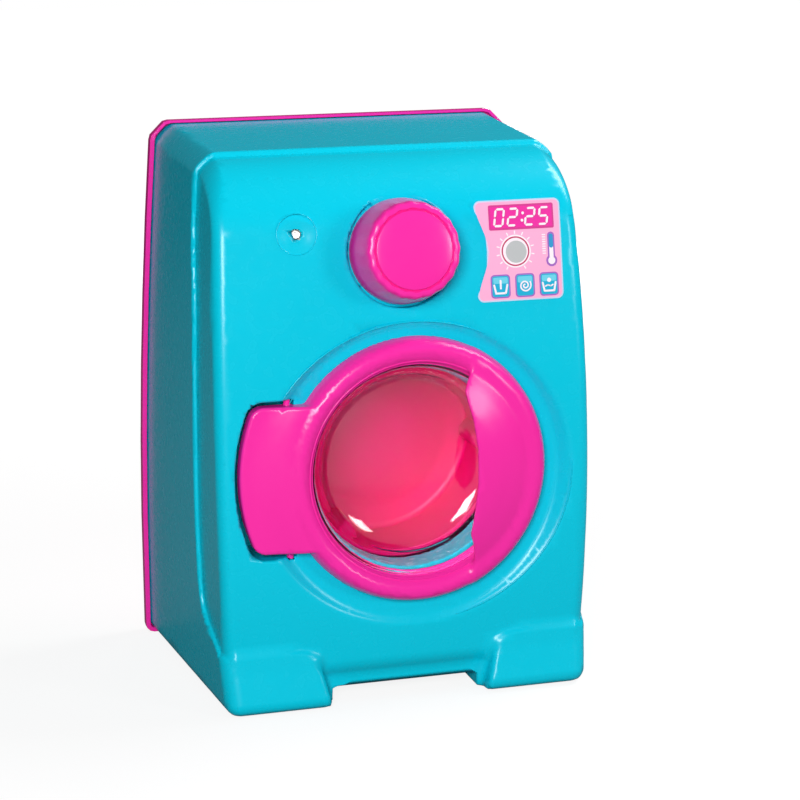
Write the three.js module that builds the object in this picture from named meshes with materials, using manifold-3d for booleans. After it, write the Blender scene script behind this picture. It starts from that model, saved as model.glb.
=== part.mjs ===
// Toy front-loading washing machine: a deep moulded shell, a back cover, a drum, a hinged door and
// a turning knob.
// Millimetres, +Z up, the front faces -Y, the origin lies under the middle of the object on the floor.
import * as THREE from "three";
import { mergeVertices } from "three/addons/utils/BufferGeometryUtils.js";
import Module from "manifold-3d";

const wasm = await Module();
wasm.setup();

// Driving dimensions. Depths run forwards from the front rim of the back cover.
const gap = 0.3; // between pieces that touch
const overrun = 12; // how far a cutter runs past what it cuts
const wall = 2.5; // moulded wall of the shell

const cover = {
  height: 320,
  halfLow: 122.9,
  narrowing: 11.3, // half width lost at the top corner
  bellyHeight: 60,
  narrowingPowerShare: 1.8,
  chamfer: 10,
  chamferRound: 3,
  footRound: 5,
  rimSide: 2.7,
  rimTop: 1.5,
  plate: 2.4,
  depth: 8.6,
  backEdge: 2,
};
const body = {
  sideLap: 4, // the cover stands out past the shell by this
  topLap: 2.4,
  footLap: 3.2,
  lapDepth: 5.4, // how far the shell reaches into the cover
  topFall: 5.2, // the top is this much lower where the crown starts
  crownBehind: 58.5, // the crown ends this far behind the reach
  crownShare: 0.872, // where the crown starts, as a share of the height
  reach: 166.5,
  reachHeight: 105,
  lean: 19.3, // the face falls back by this at leanShare of the height
  leanShare: 0.897,
  frontHalf: 112,
  frontHalfHeight: 140,
  frontTuck: 5, // the front is narrower by this, frontTuckSpan above or below
  frontTuckSpan: 145,
  topEdge: 9.5,
  frontEdge: 3.2,
  edgeFlatShare: 0.55,
  frontInset: 2.4, // the front part is set in from the back part by this
  frontRearShare: 0.36, // how far back the front part's own form runs, as a share of the reach
  floorRound: 8, // the long edges along the floor
};
const crownHeight = cover.height * body.crownShare;
const leanHeight = cover.height * body.leanShare;
const crownDepth = body.reach - body.crownBehind;
// The line where the back part steps out past the front part, as distance behind the reach and
// share of the height
const stepPoints = [
  [67.5, 0.947], [65.5, 0.819], [51.5, 0.725], [49.5, 0.55], [48.9, 0.2875], [46.5, 0.1875], [42.5, 0.1594],
  [30.5, 0.1344], [8.5, 0.1125],
];
const stepFoot = 62.5; // this far behind the reach the back part goes down to the floor
// A foot's front leans out to past the reach at the floor, and is proud of the face only a little at its top
const foot = { height: 36, past: 4, proud: 1, edge: 12 };
// The inner side of a foot seen from the front, as distance from the middle and height
const footInner = [[45.5, 0], [51.8, 24], [53.6, 30], [57, 34], [62, 36]];
// The curved lower edge between the feet, as distance behind the reach and height
const apron = [[3.5, 29], [5.7, 24], [8.5, 18], [10, 12.5], [10, 0]];
const tunnel = { half: 43.5, height: 8.8 };

const door = {
  x: 5.5,
  heightShare: 0.4235,
  sunk: 9.5, // the dish floor lies this far behind the reach
  tilt: THREE.MathUtils.degToRad(2),
  latchLift: 2.5,
  radiusByHeightShare: 0.23907, // the ring's radius follows the smaller of these two
  radiusByWidthShare: 0.62246,
};
const dish = { floor: 85, height: 12, widening: 14.4, low: 3 }; // the dish sits lower than the door by low
const opening = { radius: 66.5, lip: 59, depth: 4.6, lipThick: 1.8, tubeThick: 2, tubeDepth: 27 };
// Cross-section of the door ring, as radius and height above the dish floor
const ringSection = [
  [76.5, 0.4], [76.2, 3.4], [75.2, 7], [73.2, 9.9], [70.8, 11.4], [68, 11.4], [65, 9.8], [62.4, 7.2], [61, 4.1],
  [65.5, 4.1], [65.5, 0.4], [67.5, 0.4], [67.7, 8.4], [70.4, 8.6], [72.6, 6], [73.8, 3], [74.1, 0.4],
];
const ringNotch = { in: 1.1, half: 5, high: 5 };
const lug = {
  pastHinge: 29, half: 42, front: 5.4, low: 0.5, back: -3.2, inner: 70.6, bridge: 56, round: 5, wall: 2.2,
};
const pocket = { gap: 3, inner: 69.6, depth: 34 };
const hinge = { x: 73.5, height: -1.3, barrel: 3.6, bore: 2.1, pin: 1.8, pinLength: 15, pinSpare: 0.7 };
const lugReach = hinge.x + lug.pastHinge;
const ear = { half: 6, length: 11, back: 8, front: 4 };
// The grip's upper surface as radius and height, and its left edge from top to bottom
const gripSection = [[18, 22.6], [31, 21.4], [44, 18.8], [56, 15.6], [65, 12.6], [71.5, 9.6], [74.6, 6.6]];
const gripEdge = [
  [31.5, 57], [28.4, 51.8], [25.6, 45.5], [27, 38], [29.4, 29.4], [31.6, 12.6], [31.4, -8.3], [29.2, -28.1],
  [27.7, -37.2], [30.3, -45], [31.5, -54],
];
const grip = { thick: 2.4, reach: 74.6 };
const tongue = { x: 71.5, thick: 2, half: 6, tip: 7, bead: 0.8, beadFront: 4, beadBack: 6, slotSpare: 0.7 };
// The clear window: outer side from the flange to the middle, then the inner side back
const windowOuter = [
  [64.6, 3.8], [64.6, 2], [59.8, 2], [59, -2], [57.2, -6.5], [54.2, -11], [51.6, -16.4], [47, -20],
  [36, -23],
  [20, -25.2], [0, -26],
];
const windowInner = [
  [0, -24.4], [20, -23.6], [35.6, -21.4], [46, -18.6], [50, -15.4], [52.6, -10.4], [55.6, -5.8], [57.4, 0],
  [58.2, 3.8],
];
const retainer = { outer: 65.2, inner: 61.6, front: 1.7, back: -1.6, lip: 60.6, lipThick: 1.2 };

const drum = {
  mouth: 58,
  lip: 2.2,
  behind: 31.5, // the mouth lies this far behind the dish floor
  radius: 62,
  thick: 2,
  back: 66,
  dome: 8,
  domeShare: 0.8,
  domeRadius: 46,
  hub: 9,
  hubGap: 0.7,
};
const lifter = { count: 3, half: 8, height: 8.5, behind: 11.6, back: 69, taper: 9, topHalf: 3 };
const turret = { base: 27, tip: 11, tipDepth: 50, thick: 2.4, bushSeat: 18, baseInner: 24.4 };
const bush = { outer: 6, flange: 9, flangeThick: 1.6, past: 0.4, bore: 3.3 };
const axle = { radius: 3, intoHub: 11, past: 3.4 };
const ringClip = { outer: 6.2, inner: 3.3, thick: 1.2 };

const knob = {
  x: 1, heightShare: 0.811, waves: 20, waveDepth: 0.7, waveFrom: 2, waveTo: 22, waveRadius: 23.2, sides: 60,
};
// Cross-section of the knob, as radius and height above the face, from the spindle's bore out to the front
const knobSection = [
  [0, 9.3], [4.3, 9.3], [4.3, -4.4], [7.5, -4.4], [7.5, 20.6], [23.4, 19.6], [27.3, -4.8], [29.8, -4.8],
  [29.6, 2],
  [28.4, 12], [27.1, 21], [26.2, 23.2], [24.6, 24], [23, 24.1], [22.4, 23.3], [21.8, 24.2], [12, 25.1],
  [0, 25.6],
];
const well = { radius: 31.6, depth: 5.2, edge: 1.6, hole: 4.3 };
const spindle = { radius: 4, front: 9, bore: 1.7, boreDepth: 12 };
const clickWheel = { radius: 14, teeth: 12, toothDepth: 1.8, thick: 4, behind: 5.6 };
const wheelScrew = { head: 5.2, headThick: 2.4, shank: 1.4, length: 11 };
const leaf = {
  thick: 0.9, width: 4, left: -18, right: 12, clear: 0.6, post: 3.4, postX: -15.5, postEnd: 20,
};
const led = {
  x: -59.2, heightShare: 0.8488, dish: 10.4, dishDepth: 4.6, funnel: 3.6, hole: 2.9, backing: 2.4,
};
// The lamp as radius and height above the face, from its tip to its flange and back
const ledSection = [[0, -1], [1.2, -1.3], [2.1, -2.1], [2.5, -3.4], [2.5, -7.4], [3.1, -7.4], [3.1, -8.6],
  [0, -8.6]];
const ledClip = { inner: 3.5, outer: 5.4, front: 7.4, back: 10 };
const sticker = {
  left: 43.8,
  right: 95,
  round: 3.6,
  waist: 6.6,
  thick: 0.4,
  lowShare: 0.7144,
  highShare: 0.89,
  waistLowShare: 0.7375,
  waistHighShare: 0.8625,
};

const screw = { head: 3.3, headThick: 2, shank: 1.3, length: 20, recess: 3.8, recessDepth: 2.4, hole: 1.7 };
const screwSlot = { half: 2, halfThick: 0.35, depth: 0.7 };
const boss = { radius: 5, length: 26, pilot: 1.6, fromSide: 8, padDepth: 3, ribHalf: 1.2 };
const bossShares = [0.075, 0.494, 0.906]; // heights of the screws as shares of the height
const bay = {
  x: -58, z: 62, half: 28.5, halfHeight: 15.6, depth: 19, thick: 2, lap: 3.6, padPast: 2, padThick: 3,
};
const lid = { thick: 2.2, ribs: 5, ribPitch: 5, ribHalf: 0.8, ribHalfLength: 12, ribHeight: 0.7 };
const lidEar = { fromBay: 6.4, boss: 3.8, padHalf: 6.2 };
const lidScrew = { head: 3, headThick: 1.1, shank: 1.3, length: 9, recess: 3.3, recessDepth: 1.4 };
const cell = { radius: 7.1, length: 48.4, cap: 2.7, capLength: 1.7, pitch: 15.4, shift: 1.6 };
const contact = { thick: 0.5, half: 5.6, wire: 0.5, coil: 3.6, coilTip: 2.4, turns: 3, coilLength: 4.4 };
const speaker = {
  x: 58, z: 62, radius: 20, slots: 5, slotHalf: 1.3, slotPitch: 6, slotReach: 15, wall: 2, wallHeight: 5,
};
// Speaker pieces as radius and distance behind the cover's plate
const speakerFrame = [[20, 0.3], [20, 3], [12.4, 8.6], [10.9, 8.6], [10.9, 7.4], [17.6, 2.2], [17.6, 0.3]];
const speakerCone = [[17.2, 1], [6.4, 7], [0, 5.6], [0, 6.4], [6.6, 7.9], [17.2, 1.9]];
const speakerMagnet = { radius: 10.5, front: 9, back: 15.4 };
const power = {
  x: 0, z: 62, slotHalf: 6, slotHalfHeight: 2.6, nubHalf: 2.6, nubHalfHeight: 2.2, nubSunk: 0.3,
    travel: 2.8,
};
const switchBox = {
  half: 10, halfHeight: 6, depth: 8, recess: 2, thick: 1.6, flangeHalf: 5.2, flangeHalfHeight: 4,
};
const board = {
  x: 0, heightShare: 0.769, half: 31, halfHeight: 20, thick: 1.6, standoff: 9, post: 3, inset: 5, peg: 1.2,
  pegHole: 1.5, pegPast: 1,
};
const chip = { half: 6, thick: 2.4, x: 10 };

// Plain finishes
const finish = (color, roughness, metalness = 0) => ({ color, roughness, metalness });
const shellColour = finish("#00c4dc", 0.28);
const pinkColour = finish("#ff2fae", 0.28);
const clearColour = { ...finish("#ffe8f5", 0.05), transparent: true, opacity: 0.35 };
const whiteColour = finish("#f1f1ee", 0.45);
const steelColour = finish("#b9bcc0", 0.35, 1);
const blackColour = finish("#1b1b1d", 0.5);
const boardColour = finish("#1f6b3a", 0.5);
const printColour = finish("#ffb4dc", 0.35);
const cellColour = finish("#c9962f", 0.35, 0.6);

// A three.js geometry as a manifold solid with its faces pointing out.
function solid(geometry) {
  const bare = geometry.index ? geometry.toNonIndexed() : geometry.clone();
  const points = new THREE.BufferGeometry().setAttribute("position", bare.getAttribute("position"));
  const merged = mergeVertices(points, 1e-4);
  const corners = merged.index.array;
  const facets = [];
  for (let i = 0; i < corners.length; i += 3) {
    const [a, b, c] = corners.slice(i, i + 3);
    if (a !== b && b !== c && c !== a) facets.push([a, b, c]);
  }
  const make = (list) =>
    new wasm.Manifold(
      new wasm.Mesh({
        numProp: 3,
        vertProperties: merged.attributes.position.array,
        triVerts: new Uint32Array(list.flat()),
      }),
    );
  const made = make(facets);
  return made.volume() > 0 ? made : make(facets.map(([a, b, c]) => [b, a, c]));
}

function geometryOf(made) {
  const mesh = made.getMesh();
  const points = new Float32Array(mesh.numVert * 3);
  for (let i = 0; i < mesh.numVert; i++) {
    const at = i * mesh.numProp;
    points.set(mesh.vertProperties.subarray(at, at + 3), i * 3);
  }
  return new THREE.BufferGeometry()
    .setAttribute("position", new THREE.BufferAttribute(points, 3))
    .setIndex(new THREE.BufferAttribute(mesh.triVerts, 1));
}

const joined = (first, ...rest) => rest.reduce((whole, piece) => whole.add(piece), first);
const cut = (first, ...rest) => rest.reduce((whole, piece) => whole.subtract(piece), first);
const common = (first, ...rest) => rest.reduce((whole, piece) => whole.intersect(piece), first);

// A profile of [radius, y] pairs turned round the Y axis.
function turned(profile, sides = 32) {
  const points = profile.map(([radius, y]) => new THREE.Vector2(radius, y));
  return new THREE.LatheGeometry([...points, points[0]], sides);
}
const rod = (radius, from, to, sides) => turned([[0, from], [radius, from], [radius, to], [0, to]], sides);
const tube = (outer, inner, from, to, sides) =>
  turned([[inner, from], [outer, from], [outer, to], [inner, to]], sides);
const forwards = (profile) => profile.map(([radius, height]) => [radius, -height]);

function shapeOf(points) {
  return new THREE.Shape(points.map(([x, y]) => new THREE.Vector2(x, y)));
}

// A shape drawn in X and Z, given thickness in Y between two values.
function slab(shape, from, to, curveSegments = 6) {
  const made = new THREE.ExtrudeGeometry(shape, { depth: to - from, bevelEnabled: false, curveSegments });
  return made.rotateX(Math.PI / 2).translate(0, to, 0);
}

// A shape drawn in Y and Z, given width in X between two values.
function sideSlab(shape, from, to, curveSegments = 6) {
  const made = new THREE.ExtrudeGeometry(shape, { depth: to - from, bevelEnabled: false, curveSegments });
  return made.rotateX(Math.PI / 2).rotateZ(Math.PI / 2).translate(from, 0, 0);
}

function block([x0, x1], [y0, y1], [z0, z1]) {
  const made = new THREE.BoxGeometry(x1 - x0, y1 - y0, z1 - z0);
  return made.translate((x0 + x1) / 2, (y0 + y1) / 2, (z0 + z1) / 2);
}
const around = (middle, half) => [middle - half, middle + half];
const at = (geometry, x, z) => solid(geometry.clone().translate(x, 0, z));
const put = (geometry, place) => solid(geometry.clone().applyMatrix4(place));

const { lerp, clamp: limit } = THREE.MathUtils;
const square = (value) => value * value;

// Outer form of the shell
const coverCorner = cover.height - cover.chamfer;
function coverHalf(height) {
  const share = limit((height - cover.bellyHeight) / (coverCorner - cover.bellyHeight), 0, 1);
  return cover.halfLow - cover.narrowing * share ** cover.narrowingPowerShare;
}
function frontHalf(height) {
  return body.frontHalf - body.frontTuck * square((height - body.frontHalfHeight) / body.frontTuckSpan);
}
const sideHalf = (height, depth) =>
  lerp(coverHalf(height) - body.sideLap, frontHalf(height), depth / body.reach);
const faceReach = (height) =>
  body.reach - body.lean * square((height - body.reachHeight) / (leanHeight - body.reachHeight));
const faceSlope = (height) =>
  (-2 * body.lean * (height - body.reachHeight)) / square(leanHeight - body.reachHeight);
const frontReach = (height) => faceReach(height) - body.frontInset;
const bodyTop = cover.height - body.topLap;
const topSlope = body.topFall / crownDepth;

// Rows of the rounded edge along the floor, as shares of its radius
const floorRows = [0, 0.134, 0.5, 1];
const faceSteps = 11;
const crownSteps = 5;
const topSteps = 2;
const edgeSteps = 3;
const sideSteps = 2;
const faceRows = floorRows.length + faceSteps - 1;

// How far the rounded edge along the floor is set in from the side at some height.
function floorEdgeIn(height, floor) {
  const radius = body.floorRound - floor;
  const rise = Math.max(body.floorRound - height, 0);
  return radius - Math.sqrt(Math.max(square(radius) - square(rise), 0));
}

// The side view of the shell from the floor at the front, over the crown, to the back edge.
function sideProfile(reachAt, rear) {
  const face = new THREE.Vector2(reachAt(crownHeight), crownHeight);
  const top = new THREE.Vector2(crownDepth, bodyTop - body.topFall);
  const slope = faceSlope(crownHeight);
  const rise = (top.y - face.y + (top.x - face.x) * topSlope) / (1 + slope * topSlope);
  const corner = new THREE.Vector2(face.x + rise * slope, face.y + rise);
  const heights = floorRows.map((share) => body.floorRound * share);
  for (let i = 1; i < faceSteps; i++) heights.push((crownHeight * i) / faceSteps);
  const points = heights.map((height) => new THREE.Vector2(reachAt(height), height));
  points.push(...new THREE.QuadraticBezierCurve(face, corner, top).getPoints(crownSteps));
  for (let i = 1; i <= topSteps; i++) {
    const depth = lerp(crownDepth, rear, i / topSteps);
    points.push(new THREE.Vector2(depth, bodyTop - Math.max(depth, 0) * topSlope));
  }
  return points;
}

// Loops whose left and right halves mirror each other, lofted and closed at both ends.
function loftLoops(loops) {
  const count = loops[0].length;
  const points = loops.flat().flatMap((p) => [p.x, p.y, p.z]);
  const index = [];
  const quad = (a, b, c, d) => index.push(a, b, c, a, c, d);
  for (let row = 0; row + 1 < loops.length; row++) {
    for (let k = 0; k < count; k++) {
      const next = (k + 1) % count;
      quad(row * count + k, row * count + next, (row + 1) * count + next, (row + 1) * count + k);
    }
  }
  const last = (loops.length - 1) * count;
  for (let k = 0; k + 1 < count / 2; k++) {
    const mirror = count - 1 - k;
    quad(k + 1, k, mirror, mirror - 1);
    quad(last + k, last + k + 1, last + mirror - 1, last + mirror);
  }
  return new THREE.BufferGeometry()
    .setAttribute("position", new THREE.Float32BufferAttribute(points, 3))
    .setIndex(index);
}

// The closed form of the shell, set in from its outside by some distance.
function bodyForm({ inset, floor, reachAt = faceReach, edge = body.frontEdge, rear }) {
  const profile = sideProfile(reachAt, rear);
  const lastRow = profile.length - 1;
  const topRadius = body.topEdge - inset / 2;
  const sideTop = bodyTop - inset - topRadius;
  const loops = profile.map((point, i) => {
    const before = profile[Math.max(i - 1, 0)];
    const after = profile[Math.min(i + 1, lastRow)];
    const normal = new THREE.Vector2(after.y - before.y, before.x - after.x).normalize();
    const crownShare = limit((i - faceRows) / crownSteps, 0, 1);
    const radius = lerp(Math.max(edge - inset / 2, body.frontEdge / 2), topRadius, crownShare);
    const flat = body.edgeFlatShare * crownShare;
    const place = (into) => {
      const moved = point.clone().addScaledVector(normal, -into);
      if (i === lastRow) return { depth: rear, height: point.y - into };
      return { depth: moved.x, height: i === 0 ? floor : Math.max(moved.y, floor) };
    };
    const half = [];
    for (let k = 0; k <= edgeSteps; k++) {
      const share = k / edgeSteps;
      const angle = (share * Math.PI) / 2;
      const out = lerp(Math.sin(angle), share, flat);
      const into = lerp(1 - Math.cos(angle), share, flat);
      const { depth, height } = place(inset + radius * into);
      const set = inset + radius * (1 - out) + floorEdgeIn(height, floor);
      half.push(new THREE.Vector3(sideHalf(height, depth) - set, -depth, height));
    }
    const start = place(inset + radius);
    const sideRow = i - floorRows.length + 1;
    const level = i === lastRow || sideRow <= 0;
    const upShare = sideRow / (lastRow - floorRows.length + 1);
    const backHeight = level ? start.height : lerp(body.floorRound, sideTop, upShare);
    for (let k = 1; k <= sideSteps; k++) {
      const depth = lerp(start.depth, rear, k / sideSteps);
      const height = lerp(start.height, backHeight, k / sideSteps);
      const set = inset + floorEdgeIn(height, floor);
      half.push(new THREE.Vector3(sideHalf(height, depth) - set, -depth, height));
    }
    const mirrored = half.map((p) => new THREE.Vector3(-p.x, p.y, p.z)).reverse();
    return [...mirrored, ...half];
  });
  return solid(loftLoops(loops));
}

// Places on the face: outwards is -Y in each of these frames
const placeOnFace = (x, z) =>
  new THREE.Matrix4().makeRotationX(-Math.atan(-faceSlope(z))).setPosition(x, -frontReach(z), z);
const doorZ = cover.height * door.heightShare;
const doorDepth = body.reach - door.sunk;
const ringRadius = Math.min(cover.height * door.radiusByHeightShare,
  cover.halfLow * door.radiusByWidthShare);
const roundShare = ringRadius / ringSection[0][0];
const shrink = new THREE.Vector3(roundShare, 1, roundShare);
const doorPlace = new THREE.Matrix4().makeRotationX(-door.tilt);
doorPlace.setPosition(door.x, -doorDepth, doorZ).scale(shrink);
// A rod drawn along Y, turned to lie along the hinge's line in the door's place
const alongHinge = (geometry) => geometry.rotateX(Math.PI / 2).translate(-hinge.x, -hinge.height, 0);
const dishPlace = doorPlace.clone().multiply(new THREE.Matrix4().makeTranslation(0, 0, -dish.low));
const knobPlace = placeOnFace(knob.x, cover.height * knob.heightShare);
const ledPlace = placeOnFace(led.x, cover.height * led.heightShare);
const drumPlace = new THREE.Matrix4().makeTranslation(door.x, 0, doorZ).scale(shrink);
const drumFront = doorDepth - drum.behind;
const boardZ = cover.height * board.heightShare;
const farSide = cover.halfLow + overrun;
const farTop = cover.height + overrun;
const farFront = -body.reach - overrun * 3;
const acrossDepth = [farFront, overrun * 2];

// The back part's region in side view: all that lies behind the step line
function stepRegion(spread) {
  const line = stepPoints.map(([behind, share]) => [spread + behind - body.reach, cover.height * share]);
  const [first] = line;
  const last = line[line.length - 1];
  const low = last[1] - gap;
  const footLine = spread + stepFoot - body.reach;
  const points = [[overrun * 2, -overrun], [overrun * 2, farTop], [first[0], farTop], ...line];
  points.push([last[0], low], [footLine, low], [footLine, -overrun]);
  return solid(sideSlab(shapeOf(points), -farSide, farSide));
}

// A foot's region in front view
function footRegion(side, spread) {
  const inner = footInner.map(([x, z]) => [x + spread, Math.max(z - spread, 0)]);
  const points = [[inner[0][0], -overrun], ...inner, [farSide, foot.height - spread], [farSide, -overrun]];
  const shape = shapeOf(points.map(([x, z]) => [x * side, z]));
  return solid(slab(shape, ...acrossDepth));
}

function apronCutter(spread) {
  const curve = apron.map(([behind, height]) => [spread + behind - body.reach, height + spread]);
  const points = [[farFront, curve[0][1]], ...curve, [curve[curve.length - 1][0], -overrun],
    [farFront, -overrun]];
  return solid(sideSlab(shapeOf(points), -farSide, farSide));
}

// One set of forms makes the outside, and the same set moved in by the wall makes the hollow.
function bodySolid(spread) {
  const rear = spread ? -body.lapDepth - overrun : -body.lapDepth;
  const frontRear = body.reach * body.frontRearShare;
  const front = bodyForm({ inset: body.frontInset + spread, floor: spread, rear: frontRear });
  const back = bodyForm({ inset: spread, floor: spread, rear });
  const reachAt = (height) => {
    const share = Math.min(height / foot.height, 1);
    return lerp(body.reach + foot.past, frontReach(foot.height) + foot.proud, share);
  };
  const feet = bodyForm({ inset: spread, floor: spread, rear, reachAt, edge: foot.edge });
  return joined(
    cut(front, apronCutter(spread)),
    common(back, stepRegion(spread)),
    common(feet, footRegion(1, spread)),
    common(feet, footRegion(-1, spread)),
  );
}

// The lug's outline: a piece of a ring from a straight inner side to its outer arc
function lugShape(reach, half, inner, round) {
  const angle = Math.asin((half - round) / reach);
  const tip = -Math.cos(angle) * reach;
  const shape = new THREE.Shape();
  shape.moveTo(-inner, half);
  shape.lineTo(tip + round, half);
  shape.quadraticCurveTo(tip, half, tip, half - round);
  shape.absarc(0, 0, reach, Math.PI - angle, Math.PI + angle);
  shape.quadraticCurveTo(tip, -half, tip + round, -half);
  shape.lineTo(-inner, -half);
  return shape;
}

const dishProfile = (spread) => [
  [0, -spread],
  [dish.floor + spread, -spread],
  [dish.floor + dish.widening + spread, dish.height],
  [0, dish.height],
];
const plateInner = cover.depth - cover.plate;
const bossBack = plateInner - boss.padDepth - gap;
const screwSpots = bossShares.flatMap((share) => {
  const z = cover.height * share;
  return [-1, 1].map((side) => ({ side, x: side * (coverHalf(z) - body.sideLap - boss.fromSide), z }));
});
const leafHeight = clickWheel.radius + leaf.clear + leaf.thick / 2;
const wheelFront = well.depth + wall + clickWheel.behind;
const wheelBack = wheelFront + clickWheel.thick;

function shellHollow() {
  const wellBacking = rod(well.radius + wall, -wall, well.depth + wall, 24);
  const backDepth = led.dishDepth + led.backing;
  const ledBacking = turned([
    [0, -wall], [led.dish + wall, -wall], [led.dish + wall, wall / 2], [led.funnel + wall, backDepth],
    [0, backDepth],
  ], 16);
  return cut(
    bodySolid(wall),
    solid(block(around(0, tunnel.half + wall), acrossDepth, [-overrun, tunnel.height + wall])),
    put(turned(forwards(dishProfile(wall)), 32), dishPlace),
    put(wellBacking, knobPlace),
    put(ledBacking, ledPlace),
  );
}

function earBlock(side) {
  const low = lug.half + pocket.gap;
  const high = low + ear.length;
  const heights = side > 0 ? [low, high] : [-high, -low];
  return put(block(around(-hinge.x, ear.half), [-ear.front, ear.back], heights), doorPlace);
}

function shellBoss({ side, x, z }) {
  const outside = side * (sideHalf(z, 0) - wall / 2);
  const span = [bossBack - boss.length, bossBack];
  const rib = block([Math.min(x, outside), Math.max(x, outside)], span, around(z, boss.ribHalf));
  return joined(at(rod(boss.radius, ...span, 12), x, z), solid(rib));
}

function shellCutters() {
  const pocketShape = lugShape(lugReach + pocket.gap, lug.half + pocket.gap, pocket.inner, lug.round);
  const pinReach = lug.half + pocket.gap + hinge.pinLength / 2;
  const pinBore = alongHinge(rod(hinge.bore, -pinReach, pinReach, 12));
  const latchLeft = tongue.x - tongue.thick / 2 - tongue.slotSpare;
  const latchRight = tongue.x + tongue.thick / 2 + tongue.bead + tongue.slotSpare;
  const latchHeights = around(door.latchLift, tongue.half + tongue.slotSpare);
  const latch = block([latchLeft, latchRight], around(0, dish.height), latchHeights);
  const wellEdge = well.radius + well.edge;
  const knobWell = turned([
    [0, -overrun], [wellEdge, -overrun], [wellEdge, 0], [well.radius, well.edge], [well.radius, well.depth],
    [0, well.depth],
  ], 36);
  const leafThickness = around(leafHeight, leaf.thick / 2 + gap);
  const leafSlot = block(around(leaf.postX, leaf.post + gap), [wheelFront, overrun * 3], leafThickness);
  const ledDish = turned([
    [0, -overrun], [led.dish, -overrun], [led.dish, 0], [led.funnel, led.dishDepth], [0, led.dishDepth],
  ], 24);
  return [
    put(turned(forwards(dishProfile(0)), 52), dishPlace),
    put(rod(opening.radius, -dish.height, opening.depth, 44), doorPlace),
    put(slab(pocketShape, -dish.height, pocket.depth), doorPlace),
    put(pinBore, doorPlace),
    put(latch, doorPlace),
    put(knobWell, knobPlace),
    put(rod(well.hole, -wall, overrun * 2, 16), knobPlace),
    put(leafSlot, knobPlace),
    put(ledDish, ledPlace),
    put(rod(led.hole, -wall, overrun, 14), ledPlace),
    solid(block(around(0, tunnel.half), acrossDepth, [-overrun, tunnel.height])),
    solid(block([-farSide, farSide], [-gap, overrun * 2], [-overrun, body.footLap])),
    ...screwSpots.map(({ x, z }) => at(rod(boss.pilot, bossBack - screw.length, overrun, 8), x, z)),
  ];
}

function makeShell() {
  const past = pocket.gap + wall;
  const pocketOuter = lugShape(lugReach + past, lug.half + past, pocket.inner - wall, lug.round + wall);
  const collarBack = opening.depth + opening.lipThick;
  const collar = tube(opening.radius + wall, opening.lip, -dish.height / 2, collarBack, 40);
  const tubeSpan = [opening.depth + opening.lipThick / 2, opening.tubeDepth];
  const drumTube = tube(opening.lip + opening.tubeThick, opening.lip, ...tubeSpan, 40);
  const post = rod(leaf.post, well.depth + wall / 2, leaf.postEnd, 12).translate(leaf.postX, 0, leafHeight);
  const whole = joined(
    cut(bodySolid(0), shellHollow()),
    put(collar, doorPlace),
    put(drumTube, doorPlace),
    put(slab(pocketOuter, 0, pocket.depth + wall), doorPlace),
    earBlock(1),
    earBlock(-1),
    ...screwSpots.map(shellBoss),
    put(post, knobPlace),
  );
  return cut(whole, ...shellCutters());
}

// Back cover: a shallow tray with the turret, the battery bay, the speaker grille and the board posts
function coverShape(sideIn, topIn, footIn) {
  const top = cover.height - topIn;
  const corner = cover.chamfer - topIn;
  const half = (height) => coverHalf(height) - sideIn;
  const points = [];
  const footRadius = Math.max(cover.footRound - sideIn, gap);
  const arcSteps = 3;
  for (let i = 0; i <= arcSteps; i++) {
    const angle = lerp(-Math.PI / 2, 0, i / arcSteps);
    const x = half(0) - footRadius * (1 - Math.cos(angle));
    points.push([x, footIn + footRadius * (1 + Math.sin(angle))]);
  }
  const sideRows = 6;
  const round = cover.chamferRound;
  for (let i = 1; i <= sideRows; i++) {
    const height = lerp(cover.bellyHeight / 2, top - corner - round / 2, i / sideRows);
    points.push([half(height), height]);
  }
  const x = half(coverCorner);
  points.push([x - round / 4, top - corner + round / 2]);
  points.push([x - corner + round / 2, top - round / 4]);
  points.push([x - corner - round / 2, top]);
  return shapeOf([...points, ...points.map(([px, pz]) => [-px, pz]).reverse()]);
}

const boardPosts = [-1, 1].flatMap((sx) =>
  [-1, 1].map((sz) => ({
    x: board.x + sx * (board.half - board.inset),
    z: boardZ + sz * (board.halfHeight - board.inset),
  })),
);
const lidEars = [-1, 1].map((side) => bay.x + side * (bay.half + lidEar.fromBay));
const bayBack = cover.depth - bay.depth;

// The lid covers the bay and has an ear at each end for its screw
function lidShape(spread) {
  const half = bay.half + bay.lap + spread;
  const tall = bay.halfHeight + bay.lap + spread;
  const earHalf = lidEar.boss + spread;
  const reach = bay.half + lidEar.fromBay + lidEar.boss + spread;
  const corners = [[half, -tall], [half, -earHalf], [reach, -earHalf], [reach, earHalf], [half, earHalf],
    [half, tall]];
  const left = corners.map(([x, z]) => [-x, z]).reverse();
  return shapeOf([...corners, ...left].map(([x, z]) => [x + bay.x, z + bay.z]));
}

function coverTray() {
  const bevel = {
    depth: cover.depth + overrun,
    bevelEnabled: true,
    bevelThickness: cover.backEdge,
    bevelSize: cover.backEdge,
    bevelOffset: -cover.backEdge,
    bevelSegments: 2,
  };
  const outer = new THREE.ExtrudeGeometry(coverShape(0, 0, 0), bevel).rotateX(Math.PI / 2);
  const inner = slab(coverShape(cover.rimSide, cover.rimTop, cover.rimSide), -overrun, plateInner);
  return cut(
    solid(outer.translate(0, cover.depth - cover.backEdge, 0)),
    solid(block([-farSide, farSide], [-farSide, 0], [-overrun, farTop])),
    solid(inner),
  );
}

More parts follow.
